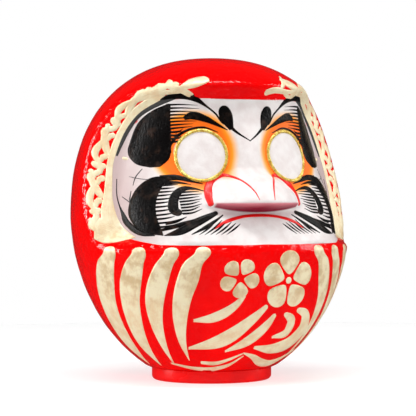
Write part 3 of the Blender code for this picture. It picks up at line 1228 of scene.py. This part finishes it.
@dataclass(frozen=True)
class Painter:
    """Lays marks on the skin as thin closed films of paint."""

    form: DollForm
    grain: float = 1.7
    rows: tuple[int, int] = (8, 160)
    columns: tuple[int, int] = (3, 36)
    end_crowding: float = 0.11
    shoulder: int = 6
    depth: float = 0.8
    edge_lift: float = 0.14
    plane: float = 10.0
    margin: float = 1.5

    def lay(self, flat: np.ndarray, canvas: Canvas) -> np.ndarray:
        """Carry flat places onto the skin.

        Args:
            flat: Flat places, in millimetres.
            canvas: How they lie on the doll.

        Returns:
            Places on the skin.
        """
        z = flat[:, 1]
        none = np.zeros(len(flat))
        if canvas is Canvas.FRONT:
            back = none + self.plane
            sideways = np.column_stack((np.where(flat[:, 0] < 0.0, -1.0, 1.0), none, none))
            widest = self.form.cast(np.column_stack((none, back, z)), sideways)[:, 0]
            limit = np.abs(widest) - self.margin
            starts = np.column_stack((np.clip(flat[:, 0], -limit, limit), back, z))
            return self.form.cast(starts, np.tile(np.array([0.0, -1.0, 0.0]), (len(flat), 1)))
        angle = flat[:, 0] / GIRTH
        outward = np.column_stack((np.sin(angle), -np.cos(angle), none))
        return self.form.cast(np.column_stack((none, none, z)), outward)

    def film(self, bm: bmesh.types.BMesh, mark: Mark, canvas: Canvas, lift: float) -> None:
        """Add one mark's closed film to a mesh.

        Args:
            bm: Mesh that it is added to.
            mark: The mark.
            canvas: How it lies on the doll.
            lift: Thickness of its paint.
        """
        layer = bm.verts.layers.float_vector["brush"]
        length, breadth = mark.span()
        rows, columns = (
            int(min(most, max(fewest, math.ceil(size / self.grain))))
            for size, (fewest, most) in ((length, self.rows), (breadth, self.columns))
        )
        made = bmesh.ops.create_grid(bm, x_segments=columns, y_segments=rows, size=1.0)["verts"]
        grid = places_of(made)
        across, along = grid[:, 0], 0.5 + 0.5 * grid[:, 1]
        along = along - self.end_crowding * np.sin(FULL_TURN * along)
        places = self.lay(mark.flat(across, along), canvas)
        crown = 1.0 - np.maximum(np.abs(across), np.abs(2.0 * along - 1.0)) ** self.shoulder
        height = self.edge_lift + (lift - self.edge_lift) * crown
        places += self.form.normals(places) * height[:, None]
        for vert, place, u, v in zip(made, places, across, along):
            vert.co = Vector(place)
            vert[layer] = Vector((0.5 * u * breadth, v * length, mark.tone))
        faces = list(dict.fromkeys(face for vert in made for face in vert.link_faces))
        extruded = bmesh.ops.extrude_face_region(bm, geom=faces)["geom"]
        under = [item for item in extruded if isinstance(item, bmesh.types.BMVert)]
        sunk = places_of(under)
        move(under, sunk - self.form.normals(sunk) * self.depth)

    def paint(
        self,
        name: str,
        marks: Sequence[Mark],
        material: bpy.types.Material,
        slot: str,
        canvas: Canvas,
        lift: float,
    ) -> None:
        """Make one piece of paint from its marks.

        Args:
            name: The piece's name.
            marks: Its strokes and washes.
            material: Its finish.
            slot: Name of a material slot for its finish; not used.
            canvas: How the marks lie on the doll.
            lift: Thickness of the paint, in millimetres.
        """
        bm = bmesh.new()
        bm.verts.layers.float_vector.new("brush")
        for mark in marks:
            self.film(bm, mark, canvas, lift)
        bmesh.ops.recalc_face_normals(bm, faces=bm.faces)
        mount(new_piece(name, bm, material))


def partway(ends: Pair, share: float) -> float:
    """Value at a share of the way from the first to the second."""
    return ends[0] + (ends[1] - ends[0]) * share


def degrees(points: Sequence[Pair]) -> list[Pair]:
    """Turn places in degrees round the axis into millimetres of the round canvas."""
    return [(math.radians(angle) * GIRTH, z) for angle, z in points]


@dataclass(frozen=True)
class CraneBrow:
    """Eyebrow shaped like a crane: a dark body, combed feathers, a wing line and a beak line."""

    feathers: int = 12
    comb_levels: Pair = (254.0, 220.0)
    comb_tips: Pair = (-44.0, -51.0)
    root: float = -67.0
    eye: Pair = (-43.4, 207.7)
    clearing: float = 27.0

    def comb(self) -> list[Mark]:
        """Fine feathers that run from the body towards the eye.

        Returns:
            One stroke for each feather.
        """
        marks: list[Mark] = []
        for index in range(self.feathers):
            share = index / (self.feathers - 1.0)
            z, edge = partway(self.comb_levels, share), partway(self.comb_tips, share)
            rise = -1.2 + 7.0 * share**2
            above = min(self.clearing, z + rise - self.eye[1])
            tip = self.eye[0] - math.sqrt(self.clearing**2 - above**2) - 0.5
            tip = min(edge, tip) + 2.0 * (index % 2)
            path = [(self.root, z - 0.5), (self.root + 9.0, z + 0.3 * rise), (tip, z + rise)]
            marks.append(Stroke(path, (2.0, 1.3, 0.2), tone=0.2))
        return marks

    def marks(self) -> list[Mark]:
        """All marks of the doll's right brow.

        Returns:
            Its strokes and its wash.
        """
        body = Wash(
            [(-66, 254.5), (-75, 249.5), (-85, 239), (-92, 223), (-95.5, 209), (-92, 200), (-84, 197)],
            [(-64, 254.5), (-64.5, 247), (-65, 238), (-65.5, 226), (-66.5, 214), (-69, 205), (-77, 197.5)],
        )
        comma = [(-55, 241), (-49, 243.5), (-39, 241), (-29, 236), (-19, 230.5)]
        lash = [(-67, 217), (-61, 225), (-50, 231.5), (-40, 233), (-27, 228.5)]
        lash_low = [(-68, 210), (-67, 217), (-62, 224.5)]
        wing = [(-104, 208), (-100, 219), (-94, 232), (-87, 243), (-79, 250.5), (-70, 256.5), (-61, 260)]
        crown = [(-74, 255.5), (-64, 261), (-54, 261.5), (-45, 258)]
        crown += [(-37, 252), (-29, 245), (-22, 236), (-17, 235)]
        beak = [(-17, 234), (-11, 228.5), (0.5, 220.5)]
        head = [(-23, 252.5), (-20, 243), (-15.5, 231)]
        return [
            body,
            Stroke(comma, (3.0, 7.0, 6.0, 3.2, 0.6)),
            Stroke(lash, (2.0, 2.4, 2.0, 1.7, 0.5)),
            Stroke(lash_low, (2.6, 2.0, 0.5)),
            # tone 0.9 paints the wing stroke grey: a painted sheen of reflected light on the black ink
            Stroke(wing, (1.5, 3.5, 4.5, 4.5, 4.5, 5.0, 3.0), tone=0.9),
            Stroke(crown, (3.0, 5.5, 6.5, 4.6, 2.0, 1.6, 1.3, 1.3), tone=0.35),
            Stroke(beak, (3.4, 2.2, 0.7)),
            Stroke(head, (8.5, 12.0, 4.0), DRAWN_OUT, 0.4),
            *self.comb(),
        ]


@dataclass(frozen=True)
class TortoiseBeard:
    """Beard shaped like a tortoise: a dark shell, combed hairs, a curled tail and whiskers."""

    hairs: int = 13
    shell_edge: Sequence[Pair] = ((-76, 184), (-82, 174), (-86, 163), (-86.5, 153), (-84.5, 144))
    tail_hairs: int = 8
    tail_levels: Pair = (175.0, 156.5)
    tail_tips: Pair = (-50.0, -53.0)
    whiskers: int = 6
    whisker_foot: Pair = (-58.0, 137.2)
    whisker_step: float = 4.6

    def shell_hairs(self) -> list[Mark]:
        """Hairs that run from the shell towards the tail.

        Returns:
            One stroke for each hair.
        """
        marks: list[Mark] = []
        for index in range(self.hairs):
            share = index / (self.hairs - 1.0)
            x, z = spline(self.shell_edge, np.array([share]))[0]
            reach = 10.5 + 2.0 * share + 1.5 * (index % 2)
            drift = 0.5 + 2.5 * share
            path = [(x - 3.0, z - 0.3), (x + 0.5 * reach, z + 0.4 * drift), (x + reach, z + drift)]
            marks.append(Stroke(path, (1.8, 1.4, 0.3), tone=0.25))
        return marks

    def tail(self) -> list[Mark]:
        """The curled stroke beside the cheek and its own hairs.

        Returns:
            The curl, then its hairs.
        """
        curl = [(-45, 175.5), (-54, 178), (-62, 178), (-69, 173), (-73, 165), (-73.5, 158.5), (-68, 156)]
        marks: list[Mark] = [Stroke(curl, (0.5, 2.2, 4.2, 6.0, 7.5, 8.0, 5.5), LIFTED_IN, 0.3)]
        for index in range(self.tail_hairs):
            share = index / (self.tail_hairs - 1.0)
            z, tip = partway(self.tail_levels, share), partway(self.tail_tips, share) + 2.0 * (index % 2)
            path = [(-68.0, z - 0.8), (-60.0, z), (tip, z + 0.5 + 3.0 * share)]
            marks.append(Stroke(path, (1.8, 1.5, 0.3), tone=0.2))
        return marks

    def sweeps(self) -> list[Mark]:
        """Long whiskers under the tail and finer ones towards the mouth.

        Returns:
            The long ones, then the fine ones.
        """
        broad = [(-84, 136.5), (-74, 139.5), (-60, 147), (-38, 157)]
        marks: list[Mark] = [
            Stroke([(-86, 141), (-73, 145.5), (-57, 151.5)], (2.0, 3.8, 0.5), tone=0.3),
            Stroke(broad, (0.6, 5.6, 7.0, 3.2), LIFTED_IN, 0.5),
            Stroke([(-64, 137.5), (-50, 144.5), (-34, 154.5)], (0.6, 3.0, 0.8), tone=0.3),
            Stroke([(-82, 147), (-74, 149), (-65, 153)], (2.6, 2.6, 0.4), tone=0.4),
        ]
        for index in range(self.whiskers):
            x, z = self.whisker_foot[0] + self.whisker_step * index, self.whisker_foot[1]
            path = [(x, z), (x + 9.0, z + 5.8), (x + 18.0 - 0.8 * index, z + 13.8 - 0.9 * index)]
            marks.append(Stroke(path, (0.3, 1.5, 0.4), tone=0.3))
        return marks

    def cheek_lines(self) -> list[Mark]:
        """Thin broken guide lines on the cheek and the long line outside the shell.

        Returns:
            The long line, then the short ones.
        """
        outline = [(-106, 187), (-107.5, 173), (-106, 158), (-103.5, 146), (-98, 138.5), (-90, 136.5)]
        ticks = (
            [(-89, 196), (-94, 189), (-97, 181)],
            [(-99, 176), (-101, 168), (-101, 160)],
            [(-98, 189), (-92, 187), (-84, 186)],
            [(-104.5, 171), (-102, 167), (-100, 163.5)],
        )
        marks: list[Mark] = [Stroke(outline, (0.6, 0.7, 1.3, 3.5, 4.5, 0.8), tone=0.5)]
        return marks + [Stroke(path, (0.4, 0.6, 0.3), tone=0.9) for path in ticks]

    def marks(self) -> list[Mark]:
        """All marks of the doll's right half of the beard.

        Returns:
            Its strokes and its wash.
        """
        shell = Wash(
            [(-72, 189.5), (-84, 188), (-94, 180), (-101, 167), (-103, 152), (-97, 139.5), (-85, 136.3)],
            [(-68, 187), (-74, 184), (-81, 175), (-86, 163), (-87, 152), (-85.5, 143.5), (-84.5, 136.8)],
        )
        fin = Stroke([(-78, 187), (-66, 188), (-56, 185.5), (-45, 182)], (6.0, 5.0, 3.4, 0.5))
        fin_low = Stroke([(-76, 183), (-66, 183.5), (-55, 181.5)], (3.0, 2.4, 0.4), tone=0.2)
        hairs = [*self.shell_hairs(), *self.tail(), *self.sweeps(), *self.cheek_lines()]
        return [shell, fin, fin_low, *hairs]


@dataclass(frozen=True)
class FaceLines:
    """Red lines of the nose wings and the lower lip."""

    def marks(self) -> list[Mark]:
        """Both nose wings and the lip.

        Returns:
            Three strokes.
        """
        outside = [(-44, 162), (-44.5, 170), (-41.5, 179.5), (-33.5, 187.5)]
        inside = [(-24, 190), (-15, 184), (-9.5, 175), (-7.5, 167.5)]
        wing = Stroke(outside + inside, (3.6, 5.0, 5.6, 4.4, 2.8, 1.8, 1.3, 0.5), DRAWN_OUT)
        lip = [(-45, 142.5), (-32, 149), (-16, 153), (0, 154), (16, 153), (32, 149), (45, 142.5)]
        lip_stroke = Stroke(lip, (2.0, 2.8, 2.5, 2.8, 2.5, 2.8, 2.0), BOTH_ROUND)
        return [wing, *mirrored([wing]), lip_stroke]


@dataclass(frozen=True)
class HoodGold:
    """Gold border of the face and the leafy scroll on one side of the hood."""

    inner: Sequence[Pair] = (
        (-66, 258.5), (-78, 252), (-87, 243), (-95, 231), (-101.5, 217),
        (-107, 202), (-109.5, 186), (-111, 168), (-109, 152), (-105, 141), (-101, 134.5),
    )
    outer: Sequence[Pair] = (
        (-70, 264), (-83, 257), (-92.5, 246.5), (-101, 232), (-107.5, 217),
        (-112, 202), (-115, 186), (-118, 171), (-121.5, 157), (-121, 143), (-114, 132.5),
    )
    crest: Sequence[Pair] = (
        (-62, 277), (-79, 269.5), (-96, 256.5), (-110, 236.5), (-120, 216.5),
        (-127, 192), (-129.8, 166), (-129.8, 148), (-128.5, 134),
    )
    units: int = 7
    vine: Pair = (0.04, 0.96)

    def between(self, along: float, across: float) -> Pair:
        """Place on the side band: along from top to bottom, across from the border to the crest.

        Args:
            along: Share of the height, from 0 to 1.
            across: Share of the width, from 0 to 1.

        Returns:
            The flat place.
        """
        share = np.array([along])
        near, far = spline(self.outer, share)[0], spline(self.crest, share)[0]
        x, z = near + (far - near) * across
        return float(x), float(z)

    def run(self, points: Sequence[Pair], widths: Sequence[float], tone: float = 0.3) -> Stroke:
        """Stroke whose path is given along and across the side band."""
        path = [self.between(along, across) for along, across in points]
        return Stroke(path, widths, BOTH_ROUND, tone)

    def scroll(self) -> list[Mark]:
        """A climbing vine: at each step a bar, a hooked tendril and two short leaves.

        Returns:
            Four strokes for each step.
        """
        marks: list[Mark] = []
        step = (self.vine[1] - self.vine[0]) / self.units
        for index in range(self.units):
            low = self.vine[0] + index * step
            lean = 0.3 if index % 2 else -0.2
            bar = [(low + lean * step, 0.0), (low + 0.1 * step, 0.5), (low - lean * step, 0.96)]
            hook = [
                (low - 0.25 * step, 0.75 - lean),
                (low + 0.3 * step, 0.55 + 0.7 * lean),
                (low + 0.75 * step, 0.9),
                (low + 1.05 * step, 0.6),
            ]
            leaf = [(low + 0.4 * step, 0.0), (low + 0.55 * step, 0.3), (low + 0.9 * step, 0.42)]
            dab = [(low + 0.5 * step, 0.98), (low + 0.72 * step, 0.7 + 0.4 * lean)]
            marks.append(self.run(bar, (4.6, 6.4, 4.0)))
            marks.append(self.run(hook, (2.6, 5.0, 5.4, 2.6), 0.5))
            marks.append(self.run(leaf, (6.4, 5.6, 2.2), 0.7))
            marks.append(self.run(dab, (4.2, 3.0), 0.4))
        return marks

    def sprig(self) -> list[Mark]:
        """A leafy twig beside the crown, on the doll's left side only.

        Returns:
            Three strokes.
        """
        twig = [(16, 264), (27, 267), (42, 266), (56, 267), (70, 272)]
        return [
            Stroke(twig, (5.0, 5.5, 4.0, 3.2, 2.0), DRAWN_OUT, 0.2),
            Stroke([(40, 281), (38, 274), (32, 266.5)], (2.5, 4.4, 1.5), DRAWN_OUT, 0.5),
            Stroke([(53, 261), (46, 262), (38, 266)], (2.2, 4.2, 1.4), DRAWN_OUT, 0.4),
        ]

    def marks(self) -> list[Mark]:
        """Border, foot and scroll on the doll's right side, with the leaves above.

        Returns:
            Its strokes and its washes.
        """
        border = Wash(self.inner, self.outer, 0.2)
        foot = Wash(
            [(-101, 135), (-107, 140), (-113, 147), (-120, 152), (-127, 151)],
            [(-104, 133), (-110, 131.5), (-116, 130), (-122, 129.5), (-128, 133)],
            0.6,
        )
        spray = [
            Stroke([(-60, 268), (-50, 272), (-36, 277)], (3.5, 8.0, 5.0), BOTH_ROUND, 0.2),
            Stroke([(-74, 272), (-62, 268), (-48, 260)], (3.0, 5.5, 5.0), BOTH_ROUND, 0.5),
            Stroke([(-90, 257), (-77, 267), (-60, 272.5)], (3.0, 5.0, 4.0), BOTH_ROUND, 0.3),
            Stroke([(-84, 259), (-70, 264.5), (-57, 264)], (4.0, 4.5, 3.0), BOTH_ROUND, 0.4),
        ]
        spot = Stroke([(-100, 206), (-96, 205)], (2.8, 2.4), BOTH_ROUND)
        return [border, foot, spot, *spray, *self.scroll()]


@dataclass(frozen=True)
class RobeFolds:
    """Gold folds of the robe on one side of the belly, in degrees round the axis."""

    top_rise: float = 4.2
    top_arc: Sequence[Pair] = ((0.2, 1.0), (0.66, 0.78), (0.92, 0.4))
    edges: Sequence[tuple[Sequence[Pair], Sequence[Pair]]] = (
        (
            ((-73.4, 122.5), (-78, 114), (-83, 97), (-87, 77), (-90, 53), (-91, 33), (-86, 17)),
            ((-67, 122.5), (-68.5, 111), (-71, 94), (-75, 70), (-77.5, 45), (-80, 30), (-85, 16.5)),
        ),
        (
            ((-58.7, 122), (-62, 114), (-67, 97), (-70, 78), (-72.5, 55), (-73.5, 34), (-70, 17)),
            ((-52.6, 122), (-54, 111), (-56, 96), (-59, 79), (-62, 56), (-65.5, 34), (-69, 16.5)),
        ),
        (
            ((-44.6, 122), (-48.5, 112), (-53, 96), (-56, 79), (-57, 58), (-56.5, 38), (-55, 20)),
            ((-38.4, 122), (-41, 111), (-43.5, 97), (-46.5, 80), (-49.5, 61), (-51.5, 42), (-54, 20)),
        ),
        (
            ((-31.6, 122.5), (-36, 114), (-40, 97), (-42.5, 80), (-44, 58), (-43.5, 38), (-41, 23)),
            ((-25.2, 122.5), (-28.5, 112), (-30.5, 97), (-34, 80), (-37, 61), (-39.5, 40), (-40.5, 23)),
        ),
    )

    def rounded(self, left: Sequence[Pair], right: Sequence[Pair]) -> tuple[list[Pair], list[Pair]]:
        """Round off the top of a fold.

        Args:
            left: Its left edge, from the top down.
            right: Its right edge, from the same height.

        Returns:
            Both edges with a round end above them.
        """
        middle, half = 0.5 * (left[0][0] + right[0][0]), 0.5 * (right[0][0] - left[0][0])
        edges = []
        for edge, hand in ((left, -1), (right, 1)):
            top = edge[0][1]
            end = [(middle + hand * half * out, top + self.top_rise * up) for out, up in self.top_arc]
            edges.append(end + list(edge))
        return edges[0], edges[1]

    def marks(self) -> list[Mark]:
        """Four leaf-shaped folds that narrow towards the base.

        Returns:
            One wash for each fold.
        """
        marks: list[Mark] = []
        for index, (left, right) in enumerate(self.edges):
            left, right = self.rounded(left, right)
            marks.append(Wash(degrees(left), degrees(right), 0.15 + 0.2 * index))
        return marks


@dataclass(frozen=True)
class BlossomSpray:
    """Broadly brushed plum blossom with a bud and long leaves on the belly, in x and z."""

    bloom: Pair = (23.0, 96.0)
    bud: Pair = (-25.0, 99.0)
    bloom_petal: Pair = (27.0, 24.0)
    bud_petal: Pair = (18.0, 15.5)
    heart: float = 6.0

    def petals(self, centre: Pair, reach: float, width: float, turn: float) -> list[Mark]:
        """Five round petals about a centre.

        Args:
            centre: Middle of the flower.
            reach: Distance from there to a petal's tip.
            width: Greatest width of a petal.
            turn: Direction of the first petal, in degrees.

        Returns:
            One stroke for each petal.
        """
        marks: list[Mark] = []
        for index in range(5):
            angle = math.radians(turn + 72.0 * index)
            across, up = reach * math.cos(angle), reach * math.sin(angle)
            path = [(centre[0] + across * share, centre[1] + up * share) for share in (0.2, 0.6, 1.0)]
            marks.append(Stroke(path, (0.2 * width, 0.85 * width, width), BOTH_ROUND, 0.15 * index))
        return marks

    def marks(self) -> list[Mark]:
        """Blossom, bud and leaves.

        Returns:
            Their strokes.
        """
        long_leaf = [(38, 69), (50, 64), (54, 52), (44, 39), (24, 33), (2, 35)]
        leaves = [
            Stroke([(4, 74), (-10, 60), (-30, 43), (-54, 35)], (4.0, 10.0, 14.0, 2.5), DRAWN_OUT, 0.2),
            Stroke([(14, 66), (6, 54), (-6, 42), (-24, 32)], (3.5, 9.0, 10.0, 2.0), DRAWN_OUT, 0.5),
            Stroke(long_leaf, (4.0, 9.0, 14.0, 14.0, 10.0, 2.5), DRAWN_OUT, 0.3),
            Stroke([(24, 66), (34, 59), (33, 49), (17, 44)], (3.5, 9.0, 9.0, 2.0), DRAWN_OUT, 0.6),
            Stroke([(-19, 84), (-27, 74), (-42, 64), (-58, 61)], (3.0, 7.0, 9.0, 2.5), DRAWN_OUT, 0.4),
        ]
        x, z = self.bloom
        half = 0.5 * self.heart
        heart = Stroke([(x - half, z), (x + half, z)], (self.heart, self.heart), BOTH_ROUND)
        petals = self.petals(self.bloom, *self.bloom_petal, 90.0)
        petals += self.petals(self.bud, *self.bud_petal, 60.0)
        return [*petals, heart, *leaves]


@dataclass(frozen=True)
class WaveHem:
    """Two gold waves and a crescent above the base, in degrees round the axis."""

    def marks(self) -> list[Mark]:
        """The pair of waves on the doll's right and the crescent on its left.

        Returns:
            Two strokes and a wash.
        """
        low = [(-57, 19.5), (-38, 14.8), (-21, 15), (-11, 19), (-3.5, 27)]
        high = [(-33, 21), (-21, 20.5), (-12, 24.5), (-4.5, 29.5)]
        crescent = (
            [(-4.5, 30.5), (4, 28), (13, 23.5), (23, 21), (34, 23), (46, 30)],
            [(-4, 29), (3, 24), (10, 18.5), (20, 15), (33, 16), (47, 28)],
        )
        return [
            Stroke(degrees(low), (1.5, 3.5, 4.0, 3.0, 1.0), tone=0.2),
            Stroke(degrees(high), (3.0, 3.5, 2.6, 1.0), DRAWN_OUT, 0.5),
            Wash(*map(degrees, crescent), 0.4),
        ]


@dataclass(frozen=True)
class Brushwork:
    """Every painted mark on the doll, grouped as a painter would take them."""

    form: DollForm
    ink_lift: float = 0.3
    gold_lift: float = 0.38

    def build(self) -> None:
        """Paint what comes in pairs first, then what is there once."""
        ink = (BrushedInk().material(), "black_ink")
        gold = (GoldPaint().material(), "gold_paint")
        red = (RedLine().material(), "red_paint")
        paint = Painter(self.form).paint
        front, rounded = Canvas.FRONT, Canvas.ROUND
        for name, marks, finish, canvas, lift in (
            ("crane_brow", CraneBrow().marks(), ink, front, self.ink_lift),
            ("tortoise_beard", TortoiseBeard().marks(), ink, front, self.ink_lift),
            ("hood_gold", HoodGold().marks(), gold, front, self.gold_lift),
            ("robe_folds", RobeFolds().marks(), gold, rounded, self.gold_lift),
        ):
            paint(f"{name}_right", marks, *finish, canvas, lift)
            paint(f"{name}_left", mirrored(marks), *finish, canvas, lift)
        paint("nose_and_lip_lines", FaceLines().marks(), *red, front, self.ink_lift)
        paint("hood_sprig_left", HoodGold().sprig(), *gold, front, self.gold_lift)
        paint("blossom_spray", BlossomSpray().marks(), *gold, front, self.gold_lift)
        paint("wave_hem", WaveHem().marks(), *gold, rounded, self.gold_lift)


# ---------------------------------------------------------------------------------------------------
# Studio


@dataclass(frozen=True)
class Softbox:
    """Area light that looks at the doll; a polarised one leaves no reflection on gloss."""

    name: str
    azimuth: float
    elevation: float
    distance: float
    size: float
    power: float
    polarised: bool = False
    stretch: float = 1.0

    def build(self, target: Vector) -> None:
        """Place the light.

        Args:
            target: What it looks at, in metres.
        """
        light = bpy.data.lights.new(self.name, "AREA")
        light.shape = "RECTANGLE"
        light.size = self.size * self.stretch
        light.size_y = self.size
        light.energy = self.power
        lamp = bpy.data.objects.new(self.name, light)
        lamp.visible_glossy = not self.polarised
        turn, rise = math.radians(self.azimuth), math.radians(self.elevation)
        flat = math.cos(rise)
        away = Vector((math.sin(turn) * flat, -math.cos(turn) * flat, math.sin(rise)))
        lamp.location = target + away * self.distance
        lamp.rotation_euler = (-away).to_track_quat("-Z", "Y").to_euler()
        bpy.context.scene.collection.objects.link(lamp)


@dataclass(frozen=True)
class Studio:
    """Pale floor, soft lights and the camera, in metres."""

    azimuth: float = math.radians(-25.0)
    distance: float = 1.8
    eye_level: float = 0.173
    aim_level: float = 0.160
    sideways: float = -0.0028
    lens: float = 165.9
    roll: float = math.radians(-0.2)
    floor_radius: float = 0.8
    floor_greys: Pair = (0.50, 0.53)
    backdrop: Colour = (1.0, 1.0, 1.0)
    glow: float = 0.25
    gloss_share: float = 0.15
    floor_glow: float = 0.6
    softboxes: Sequence[Softbox] = (
        Softbox("key_softbox", -60.0, 35.0, 1.5, 0.9, 4.2, True),
        Softbox("front_softbox", -10.0, 22.0, 1.9, 1.0, 7.4, True),
        Softbox("fill_softbox", 45.0, 20.0, 1.8, 1.1, 3.8, True),
        Softbox("top_strip", -25.0, 72.0, 1.3, 0.2, 13.0, stretch=5.5),
        Softbox("left_strip", -112.0, 14.0, 1.4, 0.9, 9.0, stretch=0.2),
        Softbox("right_strip", 72.0, 20.0, 1.4, 0.9, 5.0, stretch=0.25),
    )

    def build_floor(self) -> None:
        """Large pale disc on which the doll stands."""
        sketch = Sketch("pale_floor")
        cloud = sketch.noise(sketch.place()[0], 4.0, 3.0)
        dark, light = ((grey,) * 3 for grey in self.floor_greys)
        bm = bmesh.new()
        bmesh.ops.create_circle(bm, cap_ends=True, segments=96, radius=self.floor_radius / MM)
        material = sketch.finish(
            Base_Color=sketch.mix(cloud, dark, light),
            Roughness=0.9,
            Emission_Color=self.backdrop,
            Emission_Strength=self.floor_glow,
        )
        floor = new_piece("floor", bm, material)
        floor.visible_glossy = False

    def build_world(self) -> None:
        """White backdrop, dim as a light and dimmer still in the doll's gloss."""
        world = bpy.data.worlds.new("studio")
        world.use_nodes = True
        tree = world.node_tree
        lit = tree.nodes["Background"]
        dimmed, seen = (tree.nodes.new("ShaderNodeBackground") for _ in range(2))
        strengths = {lit: self.glow, dimmed: self.glow * self.gloss_share, seen: 1.0}
        for node, strength in strengths.items():
            node.inputs["Color"].default_value = (*self.backdrop, 1.0)
            node.inputs["Strength"].default_value = strength
        rays = tree.nodes.new("ShaderNodeLightPath").outputs
        shown = lit.outputs[0]
        for ray, other in (("Is Glossy Ray", dimmed), ("Is Camera Ray", seen)):
            blend = tree.nodes.new("ShaderNodeMixShader")
            for source, socket in zip((rays[ray], shown, other.outputs[0]), blend.inputs):
                tree.links.new(source, socket)
            shown = blend.outputs[0]
        tree.links.new(shown, tree.nodes["World Output"].inputs["Surface"])
        bpy.context.scene.world = world

    def build_camera(self) -> None:
        """Camera a little to the doll's right, just above its middle."""
        camera = bpy.data.cameras.new("camera")
        camera.lens = self.lens
        holder = bpy.data.objects.new("camera", camera)
        slide = Vector((math.cos(self.azimuth), math.sin(self.azimuth), 0.0)) * self.sideways
        away = Vector((math.sin(self.azimuth), -math.cos(self.azimuth), 0.0)) * self.distance
        holder.location = away + slide + Vector((0.0, 0.0, self.eye_level))
        aim = slide + Vector((0.0, 0.0, self.aim_level)) - holder.location
        turned = aim.to_track_quat("-Z", "Y").to_matrix() @ Matrix.Rotation(self.roll, 3, "Z")
        holder.rotation_euler = turned.to_euler()
        bpy.context.scene.collection.objects.link(holder)
        bpy.context.scene.camera = holder

    def build(self) -> None:
        """Set up everything round the doll."""
        bpy.context.scene.view_settings.view_transform = "Standard"
        self.build_floor()
        self.build_world()
        self.build_camera()
        for softbox in self.softboxes:
            softbox.build(Vector((0.0, 0.0, self.aim_level)))


# ---------------------------------------------------------------------------------------------------
# Assembly


def dress_hidden_nodes(nodes: dict[str, bpy.types.Object]) -> None:
    """Give the pieces inside the doll their own materials.

    Args:
        nodes: CAD nodes by name.
    """
    paper = DryStock("pasted_paper", (0.70, 0.62, 0.48), (0.52, 0.44, 0.32), 0.9).material()
    clay = DryStock("dried_clay", (0.40, 0.28, 0.19), (0.25, 0.17, 0.11), 0.7).material()
    for name, material in (("seam_tape", paper), ("bottom_paper", paper), ("ballast", clay)):
        mesh = nodes[name].data
        mesh.materials.clear()
        mesh.materials.append(material)
        log.info("%-22s keeps its shape", name)


def main() -> None:
    """Build the doll's looks round the fixed frame."""
    logging.basicConfig(level=logging.INFO, format="%(message)s")
    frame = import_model()
    form = DollForm()
    dress_hidden_nodes(frame["nodes"])
    PaperBody(form).build()
    BaseRing().build()
    for side in SIDES:
        EyeRim(form, side).build()
    Brushwork(form).build()
    Studio().build()


if __name__ == "__main__":
    main()
